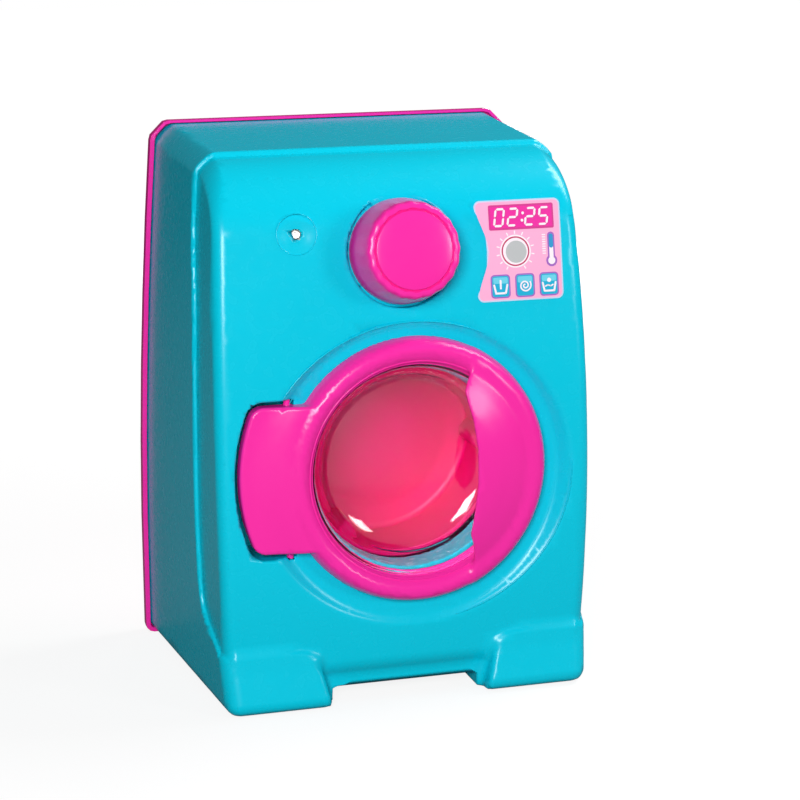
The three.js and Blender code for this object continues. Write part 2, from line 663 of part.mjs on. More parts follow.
function coverParts() {
  const seat = plateInner + gap;
  const pad = (x, z) => at(rod(boss.radius, plateInner - boss.padDepth, seat, 12), x, z);
  const turretBack = turret.bushSeat - turret.tipDepth;
  const cone = turned([
    [0, -turret.tipDepth], [turret.tip, -turret.tipDepth], [turret.tip, turretBack], [turret.base, seat],
    [0, seat],
  ], 32);
  const bayHeights = (past) => around(bay.z, bay.halfHeight + past);
  const bayBox = block(around(bay.x, bay.half + bay.thick), [bayBack - bay.thick, seat],
    bayHeights(bay.thick));
  const padPast = bay.lap + bay.padPast;
  const padSpan = [plateInner - bay.padThick, seat];
  const bayPad = block(around(bay.x, bay.half + padPast), padSpan, bayHeights(padPast));
  const ears = lidEars.map((x) =>
    joined(
      solid(block(around(x, lidEar.padHalf), padSpan, around(bay.z, lidEar.padHalf))),
      at(rod(lidEar.boss, bayBack + bay.thick, plateInner, 12), x, bay.z),
    ),
  );
  const speakerOuter = speaker.radius + gap + speaker.wall;
  const speakerWall = tube(speakerOuter, speaker.radius + gap, plateInner - speaker.wallHeight, seat, 24);
  const pegFront = plateInner - board.standoff - board.thick - board.pegPast - gap;
  const posts = boardPosts.map(({ x, z }) =>
    joined(
      at(rod(board.post, plateInner - board.standoff, seat, 10), x, z),
      at(rod(board.peg, pegFront, plateInner, 8), x, z),
    ),
  );
  const switchWalls = [-1, 1].map((side) => {
    const x = power.x + side * (switchBox.half + gap + switchBox.thick / 2);
    const span = [plateInner - switchBox.depth, seat];
    return solid(block(around(x, switchBox.thick / 2), span, around(power.z, switchBox.halfHeight)));
  });
  return [
    ...screwSpots.map(({ x, z }) => pad(x, z)),
    put(cone, drumPlace),
    solid(bayBox),
    solid(bayPad),
    ...ears,
    at(speakerWall, speaker.x, speaker.z),
    ...posts,
    ...switchWalls,
  ];
}

function coverCutters() {
  const recessFront = cover.depth - screw.recessDepth;
  const coneFront = turret.bushSeat - turret.tipDepth;
  const coneHollow = turned([
    [0, coneFront], [turret.tip - turret.thick / 2, coneFront], [turret.baseInner, cover.depth],
    [turret.baseInner, overrun], [0, overrun],
  ], 32);
  const bayHollow = block(around(bay.x, bay.half), [bayBack, overrun], around(bay.z, bay.halfHeight));
  const slots = [];
  for (let i = 0; i < speaker.slots; i++) {
    const shift = (i - (speaker.slots - 1) / 2) * speaker.slotPitch;
    const reach = Math.sqrt(square(speaker.slotReach) - square(shift));
    slots.push(solid(block(around(speaker.x + shift, speaker.slotHalf), [0, overrun],
      around(speaker.z, reach))));
  }
  const switchSlot = block(around(power.x, power.slotHalf), [0, overrun],
    around(power.z, power.slotHalfHeight));
  return [
    ...screwSpots.map(({ x, z }) => at(rod(screw.hole, -overrun, overrun, 10), x, z)),
    ...screwSpots.map(({ x, z }) => at(rod(screw.recess, recessFront, overrun, 14), x, z)),
    put(coneHollow, drumPlace),
    put(rod(bush.outer + gap, -farSide, overrun, 24), drumPlace),
    solid(bayHollow),
    solid(slab(lidShape(gap), cover.depth - lid.thick - gap, overrun)),
    ...lidEars.map((x) => at(rod(boss.pilot, bayBack + bay.thick * 2, overrun, 8), x, bay.z)),
    ...slots,
    solid(switchSlot),
  ];
}

const makeCover = () => cut(joined(coverTray(), ...coverParts()), ...coverCutters());

function makeLid() {
  const plate = solid(slab(lidShape(0), cover.depth - lid.thick, cover.depth));
  const holes = lidEars.flatMap((x) => [
    at(rod(screw.hole, 0, overrun, 10), x, bay.z),
    at(rod(lidScrew.recess, cover.depth - lidScrew.recessDepth, overrun, 14), x, bay.z),
  ]);
  const ribs = [];
  for (let i = 0; i < lid.ribs; i++) {
    const z = bay.z + (i - (lid.ribs - 1) / 2) * lid.ribPitch;
    const span = [cover.depth - lid.ribHeight, overrun];
    ribs.push(solid(block(around(bay.x, lid.ribHalfLength), span, around(z, lid.ribHalf))));
  }
  return cut(plate, ...holes, ...ribs);
}

// A screw along Y with its cross-slotted head at the back.
function makeScrew({ head, headThick, shank, length }, back) {
  const seat = back - headThick;
  const made = turned([
    [0, back - length], [shank, back - length + shank * 2], [shank, seat], [head, seat],
    [head, back - headThick / 3],
    [head / 1.6, back], [0, back],
  ], 10);
  const slots = [0, Math.PI / 2].map((angle) => {
    const bar = block(around(0, screwSlot.half), [back - screwSlot.depth, back + overrun],
      around(0, screwSlot.halfThick));
    return solid(bar.rotateY(angle));
  });
  return cut(solid(made), ...slots);
}

const hubEnd = -turret.tipDepth - bush.flangeThick - gap * 2 - drum.hubGap;

function makeLifter(turn) {
  const inner = drum.radius - drum.thick;
  const base = inner + drum.thick / 2;
  const top = inner - lifter.height;
  const front = drumFront - lifter.behind;
  const corner = (y, half, reach) => [[-half, y, reach], [half, y, reach]];
  const points = [
    ...corner(-front, lifter.half, base),
    ...corner(-lifter.back, lifter.half, base).reverse(),
    ...corner(-front + lifter.taper, lifter.topHalf, top),
    ...corner(-lifter.back, lifter.topHalf, top).reverse(),
  ];
  const wedge = new THREE.BufferGeometry();
  wedge.setAttribute("position", new THREE.Float32BufferAttribute(points.flat(), 3));
  const sides = [0, 1, 5, 0, 5, 4, 1, 2, 6, 1, 6, 5, 2, 3, 7, 2, 7, 6, 3, 0, 4, 3, 4, 7];
  wedge.setIndex([0, 2, 1, 0, 3, 2, 4, 5, 6, 4, 6, 7, ...sides]);
  return solid(wedge.rotateY(turn));
}

function makeDrum() {
  const front = -drumFront;
  const back = -drum.back;
  const inner = drum.radius - drum.thick;
  const deep = (share) => back - drum.dome * share;
  const profile = [
    [drum.mouth, front], [drum.radius - drum.lip / 2, front], [drum.radius, front + drum.lip],
    [drum.radius, back - drum.lip], [drum.radius - drum.lip, back], [drum.domeRadius, back],
    [drum.domeRadius / 2, deep(drum.domeShare)], [drum.hub, deep(1)], [drum.hub, hubEnd], [0, hubEnd],
    [0, deep(1) - drum.thick], [drum.domeRadius / 2, deep(drum.domeShare) - drum.thick],
    [drum.domeRadius, back - drum.thick], [inner - drum.lip, back - drum.thick],
    [inner, back - drum.thick - drum.lip], [inner, front + drum.lip * 2], [drum.mouth, front + drum.lip],
  ];
  const lifters = [];
  for (let i = 0; i < lifter.count; i++) {
    const turn = (i / lifter.count) * Math.PI * 2;
    lifters.push(makeLifter(turn + Math.PI / 2));
  }
  const bore = rod(axle.radius + gap, hubEnd - axle.intoHub - gap, overrun, 14);
  return cut(joined(solid(turned(profile, 48)), ...lifters), solid(bore));
}

// The hinge side of the door: a hollow plate over the dish, deeper where it dips into the pocket
function makeLug() {
  const { half, front, low, back, inner, bridge, round } = lug;
  const hollowFront = lug.wall - front;
  const hollowShape = (from) => lugShape(lugReach - lug.wall, half - lug.wall, from, round);
  const overDish = cut(
    solid(slab(lugShape(lugReach, half, bridge, round), -front, -low)),
    solid(slab(hollowShape(bridge - lug.wall), hollowFront, overrun)),
    solid(rod(inner, -overrun * 2, overrun, 52)),
  );
  const inPocket = cut(
    solid(slab(lugShape(lugReach, half, inner, round), -front, -back)),
    solid(slab(hollowShape(inner + lug.wall), hollowFront, overrun)),
  );
  const barrel = alongHinge(rod(hinge.barrel, -half, half, 14));
  const web = block(around(-hinge.x, lug.wall / 2), [lug.wall / 2 - front, -hinge.height], [-half, half]);
  return joined(overDish, inPocket, solid(barrel), solid(web));
}

function makeGrip() {
  const under = gripSection.map(([radius, height]) => [radius, height - grip.thick]).reverse();
  const lens = turned(forwards([...gripSection, ...under]), 52);
  const angleOf = ([x, z]) => Math.atan2(z, x);
  const from = angleOf(gripEdge[gripEdge.length - 1]);
  const to = angleOf(gripEdge[0]);
  const arc = [];
  const arcSteps = 14;
  for (let i = 0; i <= arcSteps; i++) {
    const angle = lerp(from, to, i / arcSteps);
    arc.push([Math.cos(angle) * grip.reach, Math.sin(angle) * grip.reach]);
  }
  const edge = new THREE.SplineCurve(gripEdge.map(([x, z]) => new THREE.Vector2(x, z))).getPoints(16);
  const outline = shapeOf([...arc, ...edge.map((p) => [p.x, p.y])]);
  return common(solid(lens), solid(slab(outline, -overrun * 3, overrun)));
}

function makeDoorFrame() {
  const [outermost] = ringSection;
  const crest = ringSection[4][1];
  const heights = around(door.latchLift, tongue.half);
  const hook = joined(
    solid(block(around(tongue.x, tongue.thick / 2), [grip.thick / 2 - crest, tongue.tip], heights)),
    solid(block([tongue.x, tongue.x + tongue.thick / 2 + tongue.bead],
      [tongue.beadFront, tongue.beadBack], heights)),
  );
  const notch = block(
    [outermost[0] - ringNotch.in, outermost[0] + overrun],
    [-ringNotch.high, overrun],
    around(door.latchLift, ringNotch.half),
  );
  const pinDepth = hinge.pinLength / 2 + hinge.pinSpare;
  const boreSpans = [[lug.half - pinDepth, lug.half + overrun], [-lug.half - overrun, pinDepth - lug.half]];
  const bores = boreSpans.map(([from, to]) => solid(alongHinge(rod(hinge.bore, from, to, 12))));
  const ring = solid(turned(forwards(ringSection), 52));
  return cut(joined(ring, makeLug(), makeGrip(), hook), solid(notch), ...bores);
}

// The knob: a turned form whose side ripples more and more towards its front
function makeKnob() {
  const made = turned(forwards(knobSection), knob.sides);
  const position = made.attributes.position;
  for (let i = 0; i < position.count; i++) {
    const [x, y, z] = [position.getX(i), position.getY(i), position.getZ(i)];
    const radius = Math.hypot(x, z);
    const share = limit((-y - knob.waveFrom) / (knob.waveTo - knob.waveFrom), 0, 1);
    const wave = (1 - Math.cos(knob.waves * Math.atan2(z, x))) / 2;
    const keep = radius > knob.waveRadius ? 1 - (knob.waveDepth * share * wave) / radius : 1;
    position.setXYZ(i, x * keep, y, z * keep);
  }
  return solid(made);
}

function makeClickWheel() {
  const points = [];
  const steps = clickWheel.teeth * 3;
  for (let i = 0; i < steps; i++) {
    const angle = (i / steps) * Math.PI * 2;
    const dip = (1 - Math.cos(angle * clickWheel.teeth)) / 2;
    const radius = clickWheel.radius - clickWheel.toothDepth * dip;
    points.push([Math.cos(angle) * radius, Math.sin(angle) * radius]);
  }
  const bore = rod(spindle.radius + gap, -overrun, overrun * 3, 16);
  return cut(solid(slab(shapeOf(points), wheelFront, wheelBack)), solid(bore));
}

function makeSticker() {
  const { left, right, round, waist } = sticker;
  const shares = [sticker.lowShare, sticker.highShare, sticker.waistLowShare, sticker.waistHighShare];
  const [low, high, waistLow, waistHigh] = shares.map((share) => cover.height * share);
  const quarter = Math.PI / 2;
  const outline = new THREE.Shape();
  outline.absarc(left + round, low + round, round, quarter * 2, quarter * 3);
  outline.absarc(right - round, low + round, round, -quarter, 0);
  outline.absarc(right - round, high - round, round, 0, quarter);
  outline.absarc(left + round, high - round, round, quarter, quarter * 2);
  outline.bezierCurveTo(left, waistHigh, left + waist, waistHigh, left + waist, (low + high) / 2);
  outline.bezierCurveTo(left + waist, waistLow, left, waistLow, left, low + round);
  const rows = 8;
  const skin = (lift) => {
    const line = [];
    for (let i = 0; i <= rows; i++) {
      const height = lerp(low - gap, high + gap, i / rows);
      line.push([-frontReach(height) - lift, height]);
    }
    return line;
  };
  const side = shapeOf([...skin(gap + sticker.thick), ...skin(gap).reverse()]);
  return common(
    solid(sideSlab(side, left - gap, right + gap)),
    solid(slab(outline, -body.reach, -crownDepth)),
  );
}

const cellY = bayBack + gap + cell.radius;

class Coil extends THREE.Curve {
  constructor(place, side) {
    super();
    this.place = place;
    this.side = side;
  }
  getPoint(share) {
    const angle = share * contact.turns * Math.PI * 2;
    const radius = lerp(contact.coil, contact.coilTip, share);
    const along = new THREE.Vector3(-this.side * share * contact.coilLength, 0, 0);
    const across = new THREE.Vector3(0, Math.cos(angle) * radius, Math.sin(angle) * radius);
    return this.place.clone().add(along).add(across);
  }
}

// A contact plate at one end of the cells, with a coil where a cell's flat end meets it
function makeContact(side, heights, coilHeights) {
  const x = bay.x + side * (bay.half - gap - contact.thick / 2);
  const span = [Math.min(...heights) - contact.half, Math.max(...heights) + contact.half];
  const plate = solid(block(around(x, contact.thick / 2), around(cellY, contact.half), span));
  const coils = coilHeights.map((z) => {
    const wire = new THREE.Shape().absarc(0, 0, contact.wire, 0, Math.PI * 2);
    const extrudePath = new Coil(new THREE.Vector3(x, cellY, z), side);
    return solid(new THREE.ExtrudeGeometry(wire,
      { steps: contact.turns * 9, extrudePath, curveSegments: 3 }));
  });
  return joined(plate, ...coils);
}

const group = new THREE.Group();
function add(name, made, colour) {
  const mesh = new THREE.Mesh(geometryOf(made), new THREE.MeshStandardMaterial(colour));
  mesh.name = name;
  group.add(mesh);
}
const placed = (made, place) => solid(geometryOf(made).applyMatrix4(place));

add("front_shell", makeShell(), shellColour);
add("back_cover", makeCover(), pinkColour);
screwSpots.forEach(({ x, z }, i) => {
  const made = makeScrew(screw, cover.depth - screw.recessDepth + gap + screw.headThick);
  add(`case_screw_${i + 1}`, made.translate([x, 0, z]), steelColour);
});

const bushFront = -turret.tipDepth - gap - bush.flangeThick;
const bushFlangeBack = bushFront + bush.flangeThick;
const bushEnd = turret.bushSeat - turret.tipDepth + bush.past;
const clipFront = bushEnd + gap * 2;
const axleEnd = clipFront + ringClip.thick + axle.past;
const bushSection = [
  [bush.bore, bushFront], [bush.flange, bushFront], [bush.flange, bushFlangeBack],
  [bush.outer, bushFlangeBack],
  [bush.outer, bushEnd], [bush.bore, bushEnd],
];
add("drum", placed(makeDrum(), drumPlace), pinkColour);
add("drum_axle", put(rod(axle.radius, hubEnd - axle.intoHub, axleEnd, 14), drumPlace), steelColour);
add("drum_bearing", put(turned(bushSection, 20), drumPlace), whiteColour);
const clipSpan = [clipFront, clipFront + ringClip.thick];
add("drum_clip", put(tube(ringClip.outer, ringClip.inner, ...clipSpan, 14), drumPlace), steelColour);

const lipFront = retainer.back + retainer.lipThick;
const retainerSection = [
  [retainer.outer, retainer.front], [retainer.outer, retainer.back], [retainer.lip, retainer.back],
  [retainer.lip, lipFront], [retainer.inner, lipFront], [retainer.inner, retainer.front],
];
add("door_frame", placed(makeDoorFrame(), doorPlace), pinkColour);
add("door_window", put(turned(forwards([...windowOuter, ...windowInner]), 44), doorPlace), clearColour);
add("window_retainer", put(turned(forwards(retainerSection), 44), doorPlace), pinkColour);
[["hinge_pin_top", 1], ["hinge_pin_bottom", -1]].forEach(([name, side]) => {
  const middle = side * (lug.half + pocket.gap / 2);
  const pin = alongHinge(rod(hinge.pin, ...around(middle, hinge.pinLength / 2), 12));
  add(name, put(pin, doorPlace), pinkColour);
});

const spindleBore = rod(spindle.bore, wheelBack - spindle.boreDepth, overrun * 3, 10);
const spindleSolid = cut(solid(rod(spindle.radius, -spindle.front, wheelBack, 16)), solid(spindleBore));
const leafSpan = [wheelFront + gap, wheelFront + gap + leaf.width];
const leafBlock = block([leaf.left, leaf.right], leafSpan, around(leafHeight, leaf.thick / 2));
add("knob", placed(makeKnob(), knobPlace), pinkColour);
add("knob_spindle", placed(spindleSolid, knobPlace), whiteColour);
add("click_wheel", placed(makeClickWheel(), knobPlace), whiteColour);
add("knob_screw", placed(makeScrew(wheelScrew, wheelBack + gap + wheelScrew.headThick), knobPlace),
  steelColour);
add("click_spring", put(leafBlock, knobPlace), steelColour);
add("led_lamp", put(turned(forwards(ledSection), 14), ledPlace), clearColour);
add("led_clip", put(tube(ledClip.outer, ledClip.inner, ledClip.front, ledClip.back, 14), ledPlace),
  whiteColour);
add("control_sticker", makeSticker(), printColour);

const boardBack = plateInner - board.standoff - gap;
const boardSpan = [boardBack - board.thick, boardBack];
const boardPlate = block(around(board.x, board.half), boardSpan, around(boardZ, board.halfHeight));
const boardHoles = boardPosts.map(({ x, z }) => at(rod(board.pegHole, -overrun, overrun, 8), x, z));
const chipBack = boardBack - board.thick - gap;
const chipBlock = block(around(board.x + chip.x, chip.half), [chipBack - chip.thick, chipBack],
  around(boardZ, chip.half));
add("circuit_board", cut(solid(boardPlate), ...boardHoles), boardColour);
add("sound_chip", solid(chipBlock), blackColour);

const inwards = (profile) => profile.map(([radius, depth]) => [radius, plateInner - depth]);
const magnetSpan = [plateInner - speakerMagnet.back, plateInner - speakerMagnet.front];
add("speaker_frame", at(turned(inwards(speakerFrame), 20), speaker.x, speaker.z), steelColour);
add("speaker_cone", at(turned(inwards(speakerCone), 20), speaker.x, speaker.z), blackColour);
add("speaker_magnet", at(rod(speakerMagnet.radius, ...magnetSpan, 18), speaker.x, speaker.z), steelColour);

const cellHeights = [bay.z - cell.pitch / 2, bay.z + cell.pitch / 2];
const cellSection = [
  [0, -cell.length / 2], [cell.radius, -cell.length / 2], [cell.radius, cell.length / 2],
  [cell.cap, cell.length / 2],
  [cell.cap, cell.length / 2 + cell.capLength], [0, cell.length / 2 + cell.capLength],
];
cellHeights.forEach((z, i) => {
  const side = i === 0 ? 1 : -1;
  const made = turned(cellSection, 16).rotateZ((-side * Math.PI) / 2);
  made.translate(bay.x + side * cell.shift, cellY, z);
  add(`battery_${i + 1}`, solid(made), cellColour);
});
const [lowCell, highCell] = cellHeights;
add("contact_bridge", makeContact(-1, cellHeights, [lowCell]), steelColour);
add("contact_plus", makeContact(1, [lowCell], []), steelColour);
add("contact_minus", makeContact(1, [highCell], [highCell]), steelColour);
add("battery_lid", makeLid(), pinkColour);
lidEars.forEach((x, i) => {
  add(`lid_screw_${i + 1}`, makeScrew(lidScrew, cover.depth).translate([x, 0, bay.z]), steelColour);
});

const boxBack = plateInner - gap;
const caseInner = block(
  around(power.x, switchBox.half - switchBox.thick),
  [boxBack - switchBox.recess, overrun],
  around(power.z, switchBox.halfHeight - switchBox.thick / 2),
);
const caseOuter = block(
  around(power.x, switchBox.half),
  [boxBack - switchBox.depth, boxBack],
  around(power.z, switchBox.halfHeight),
);
const sliderX = power.x - power.travel / 2;
const flangeSpan = [boxBack - switchBox.recess + gap, boxBack];
const nubSpan = [boxBack - gap, cover.depth - power.nubSunk];
const slider = joined(
  solid(block(around(sliderX, switchBox.flangeHalf), flangeSpan,
    around(power.z, switchBox.flangeHalfHeight))),
  solid(block(around(sliderX, power.nubHalf), nubSpan, around(power.z, power.nubHalfHeight))),
);
add("switch_housing", cut(solid(caseOuter), solid(caseInner)), blackColour);
add("switch_slider", slider, blackColour);

const bounds = new THREE.Box3().setFromObject(group);
group.position.y = -(bounds.min.y + bounds.max.y) / 2;

export default group;
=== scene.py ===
import math

import bmesh
import bpy
import numpy as np
import openvdb
from mathutils import Matrix, Vector


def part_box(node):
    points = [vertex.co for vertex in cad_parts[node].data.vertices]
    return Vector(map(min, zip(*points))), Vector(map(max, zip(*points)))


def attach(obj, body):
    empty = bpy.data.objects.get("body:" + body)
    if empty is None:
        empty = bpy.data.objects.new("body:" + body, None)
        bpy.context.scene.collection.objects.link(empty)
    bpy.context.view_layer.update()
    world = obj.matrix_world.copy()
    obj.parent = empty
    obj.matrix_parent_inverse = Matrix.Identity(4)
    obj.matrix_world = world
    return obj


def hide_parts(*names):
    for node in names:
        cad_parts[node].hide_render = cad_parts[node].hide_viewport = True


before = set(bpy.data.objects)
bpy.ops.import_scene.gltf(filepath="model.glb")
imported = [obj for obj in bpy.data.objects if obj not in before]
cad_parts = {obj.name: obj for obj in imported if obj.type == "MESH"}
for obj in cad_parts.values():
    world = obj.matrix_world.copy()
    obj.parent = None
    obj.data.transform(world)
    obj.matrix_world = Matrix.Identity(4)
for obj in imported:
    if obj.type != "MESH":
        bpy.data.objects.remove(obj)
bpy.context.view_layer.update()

# Lengths below are in millimetres. Depths run forwards from the front rim of the back cover, as in the CAD.
mm = 0.001
coverSizes = {
    "height": 320, "halfLow": 122.9, "narrowing": 11.3, "bellyHeight": 60, "power": 1.8, "chamfer": 10,
    "depth": 8.6,
}
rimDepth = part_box("back_cover")[1].y - coverSizes["depth"] * mm  # where the rim lies in the frame, in metres

shellSizes = {
    "sideLap": 3.4, "bodyTop": 317.9, "lapDepth": 5.4, "footLap": 3.2, "footGap": 0.3, "topFall": 5.2,
    "crownDepth": 108, "crownRadius": 38.5, "crownFrom": 279, "crownTo": 312, "reach": 166.5,
    "reachHeight": 105, "lean": 19.3, "leanHeight": 287, "frontHalf": 112, "frontHalfHeight": 140,
    "frontTuck": 5, "frontTuckSpan": 145, "topEdge": 10.5, "topEdgePower": 1.33, "frontEdge": 8,
    "frontInset": 2.4, "wall": 2.5, "stepRound": 1.3, "stepCove": 1.2, "apronRound": 1.5, "bottomRound": 1.6,
    "floorRound": 8, "cell": 1.1, "simplify": 0.4,
}
stepLine = [  # height, depth of the step that runs down the sides and over the top
    (303, 99), (262, 105.5), (232, 112.5), (176, 117), (92, 117.6), (60, 120), (51, 124), (43, 136),
    (36, 158),
]
stepFoot = {"depth": 104, "height": 35.7, "inner": 80}
footSizes = {
    "height": 36, "reach": 170.5, "topReach": 162.3, "edge": 9, "topRound": 3.4, "cove": 5, "corner": 8,
    "sideFade": 6, "fadeFrom": 2,
}
footInner = [(0, 45.5), (24, 51.8), (30, 53.6), (34, 57), (36, 62)]  # height, distance from the middle
apronLine = [(0, 155.4), (12.5, 155.4), (16.5, 156), (22, 159.6), (26, 162.2), (36, 168)]  # height, depth
tunnelSizes = {"half": 43.5, "height": 8.8, "round": 1.5, "rim": 0.8}

doorSizes = {"x": 5.5, "z": 135.52, "floorDepth": 157, "lean": math.radians(2), "latchLift": 2.5}
dishSizes = {"floor": 85, "widening": 1.2, "low": 3, "rimRound": 1.4, "floorRound": 1.6}
openingSizes = {
    "radius": 66.5, "lip": 59, "depth": 4.6, "lipThick": 1.8, "tubeThick": 2, "tubeDepth": 27, "round": 0.5,
    "under": 0.01,
}
pocketSizes = {
    "reach": 105.5, "half": 45, "inner": 69.6, "depth": 34, "round": 6, "floorRound": 2, "rim": 1.0,
}
earSizes = {"half": 6, "length": 11, "back": 8, "front": 4, "low": 45, "gap": 0.05}
hingeSizes = {"x": 73.5, "height": -1.3, "bore": 2.1, "reach": 46.6, "pin": 1.9, "pinRound": 0.4}
latchSizes = {"left": 69.8, "right": 74, "half": 6.7, "depth": 12}
wellSizes = {
    "x": 1, "z": 259.52, "radius": 31.6, "depth": 5.2, "rim": 1.5, "floorRound": 0.6, "hole": 4.3,
    "holeDepth": 12,
}
ledSizes = {
    "x": -59.2, "z": 271.6, "dish": 11, "depth": 1.2, "funnel": 4, "rim": 0.5, "floorRound": 0.5, "hole": 2.9,
    "holeDepth": 14,
}


def say(stage):
    print("scene:", stage)


def linear(hexColour):
    channels = [int(hexColour[i:i + 2], 16) / 255 for i in (1, 3, 5)]
    return tuple(c / 12.92 if c <= 0.04045 else ((c + 0.055) / 1.055) ** 2.4 for c in channels) + (1,)


def addNode(tree, kind, inputs=None, **settings):
    node = tree.nodes.new(kind)
    for name, value in settings.items():
        setattr(node, name, value)
    for key, value in (inputs or {}).items():
        if isinstance(value, bpy.types.NodeSocket):
            tree.links.new(value, node.inputs[key])
        else:
            node.inputs[key].default_value = value
    return node


# Materials

def newMaterial(name):
    material = bpy.data.materials.new(name)
    material.use_nodes = True
    tree = material.node_tree
    tree.nodes.clear()
    return material, tree


def noiseNode(tree, width, **inputs):
    # Smooth noise in the piece's own space, its spots about as wide as the width in millimetres
    place = addNode(tree, "ShaderNodeTexCoord").outputs["Object"]
    return addNode(tree, "ShaderNodeTexNoise", {"Vector": place, "Scale": 1 / (width * mm), **inputs})


def bumpNode(tree, pattern, height):
    return addNode(tree, "ShaderNodeBump", {
        "Height": pattern.outputs["Fac"], "Strength": 1, "Distance": height * mm,
    })


def mouldedPlastic(name, settings):
    # Dyed plastic from a polished mould: faint flow marks, a little orange peel and a slightly uneven gloss
    material, tree = newMaterial(name)
    flow = noiseNode(tree, settings["flowWidth"], Detail=2, Roughness=0.4)
    tint = addNode(tree, "ShaderNodeMix", {
        "Factor": flow.outputs["Fac"], "A": linear(settings["colour"]), "B": linear(settings["flowColour"]),
    }, data_type="RGBA")
    peel = noiseNode(tree, settings["peelWidth"], Detail=1)
    grain = noiseNode(tree, settings["grainWidth"], Detail=1, Roughness=0.5)
    gloss = addNode(tree, "ShaderNodeMapRange", {
        "Value": grain.outputs["Fac"], "From Min": settings["grainLow"], "From Max": settings["grainHigh"],
        "To Min": settings["roughness"] - settings["glossier"],
        "To Max": settings["roughness"] + settings["duller"],
    })
    relief = bumpNode(tree, peel, settings["peelHeight"])
    shader = addNode(tree, "ShaderNodeBsdfPrincipled", {
        "Base Color": tint.outputs["Result"], "Roughness": gloss.outputs["Result"], "IOR": settings["ior"],
        "Specular IOR Level": settings["shine"], "Normal": relief.outputs["Normal"],
    })
    addNode(tree, "ShaderNodeOutputMaterial", {"Surface": shader.outputs["BSDF"]})
    return material


def clearPlastic(name, settings):
    # Clear plastic from a polished mould: sharp reflections, a very faint haze
    material, tree = newMaterial(name)
    haze = noiseNode(tree, settings["hazeWidth"], Detail=2)
    gloss = addNode(tree, "ShaderNodeMapRange", {
        "Value": haze.outputs["Fac"],
        "To Min": settings["clearRoughness"], "To Max": settings["hazeRoughness"],
    })
    wave = bumpNode(tree, haze, settings["waveHeight"])
    shader = addNode(tree, "ShaderNodeBsdfPrincipled", {
        "Base Color": linear(settings["colour"]), "Roughness": gloss.outputs["Result"],
        "IOR": settings["ior"], "Transmission Weight": 1, "Normal": wave.outputs["Normal"],
    })
    # Lamplight goes straight through to what lies behind, as it does through a wall this thin
    rays = addNode(tree, "ShaderNodeLightPath")
    through = addNode(tree, "ShaderNodeBsdfTransparent", {"Color": linear(settings["shadowColour"])})
    clear = addNode(tree, "ShaderNodeMixShader", {
        0: rays.outputs["Is Shadow Ray"], 1: shader.outputs["BSDF"], 2: through.outputs["BSDF"],
    })
    addNode(tree, "ShaderNodeOutputMaterial", {"Surface": clear.outputs["Shader"]})
    return material


def platedMetal(name, settings):
    # Bright plating on wire, sheet and cup: grey with a fine crystal pattern that changes the gloss
    material, tree = newMaterial(name)
    place = addNode(tree, "ShaderNodeTexCoord").outputs["Object"]
    crystals = addNode(tree, "ShaderNodeTexVoronoi", {
        "Vector": place, "Scale": 1 / (settings["crystalWidth"] * mm),
    })
    gloss = addNode(tree, "ShaderNodeMapRange", {
        "Value": crystals.outputs["Distance"], "To Min": settings["roughness"],
        "To Max": settings["roughness"] + settings["duller"],
    })
    tint = addNode(tree, "ShaderNodeMix", {
        "Factor": crystals.outputs["Distance"], "A": linear(settings["colour"]),
        "B": linear(settings["paleColour"]),
    }, data_type="RGBA")
    shader = addNode(tree, "ShaderNodeBsdfPrincipled", {
        "Base Color": tint.outputs["Result"], "Metallic": 1, "Roughness": gloss.outputs["Result"],
    })
    addNode(tree, "ShaderNodeOutputMaterial", {"Surface": shader.outputs["BSDF"]})
    return material


def printedVinyl(name, settings):
    # Printed vinyl under a clear film, semi-gloss: flat ink, whose fine screen lifts the film a little
    material, tree = newMaterial(name)
    film = bumpNode(tree, noiseNode(tree, settings["screenWidth"], Detail=1), settings["screenHeight"])
    shader = addNode(tree, "ShaderNodeBsdfPrincipled", {
        "Base Color": linear(settings["colour"]), "Roughness": settings["roughness"], "IOR": settings["ior"],
        "Normal": film.outputs["Normal"],
    })
    addNode(tree, "ShaderNodeOutputMaterial", {"Surface": shader.outputs["BSDF"]})
    return material


plasticGrain = {
    "flowWidth": 70, "peelWidth": 14, "peelHeight": 0.01, "grainWidth": 6, "grainLow": 0.35, "grainHigh": 0.65,
    "glossier": 0.01, "duller": 0.02, "ior": 1.46, "shine": 0.4,
}
cyanAbs = mouldedPlastic("injectionMouldedAbsCyan", {
    **plasticGrain, "colour": "#00CCE6", "flowColour": "#00C8E2", "roughness": 0.26,
})
pinkPp = mouldedPlastic("injectionMouldedPolypropylenePink", {
    **plasticGrain, "colour": "#FF32AC", "flowColour": "#FB2AA4", "roughness": 0.22,
})
# The drum's plastic: a pink darkened to crimson as painted shade for the dim inside of the drum seen through
# the window
drumPinkWithPaintedShade = mouldedPlastic("injectionMouldedPolypropyleneCrimsonWithPaintedShade", {
    **plasticGrain, "colour": "#E40A6E", "flowColour": "#DC0866", "roughness": 0.34, "shine": 0.25,
})
whitePom = mouldedPlastic("injectionMouldedAcetalWhite", {
    **plasticGrain, "colour": "#EFEFEA", "flowColour": "#E6E6E0", "roughness": 0.38,
})
blackAbs = mouldedPlastic("injectionMouldedAbsBlack", {
    **plasticGrain, "colour": "#1A1A1C", "flowColour": "#222224", "roughness": 0.45,
})
clearPs = clearPlastic("injectionMouldedPolystyreneClear", {
    "colour": "#FFFFFF", "shadowColour": "#CACACA", "clearRoughness": 0.012, "hazeRoughness": 0.028,
    "ior": 1.5, "hazeWidth": 9, "waveHeight": 0.01,
})
clearEpoxy = clearPlastic("castEpoxyClear", {
    "colour": "#FFFFFF", "shadowColour": "#F6F6F6", "clearRoughness": 0.018, "hazeRoughness": 0.042,
    "ior": 1.54, "hazeWidth": 2, "waveHeight": 0.004,
})
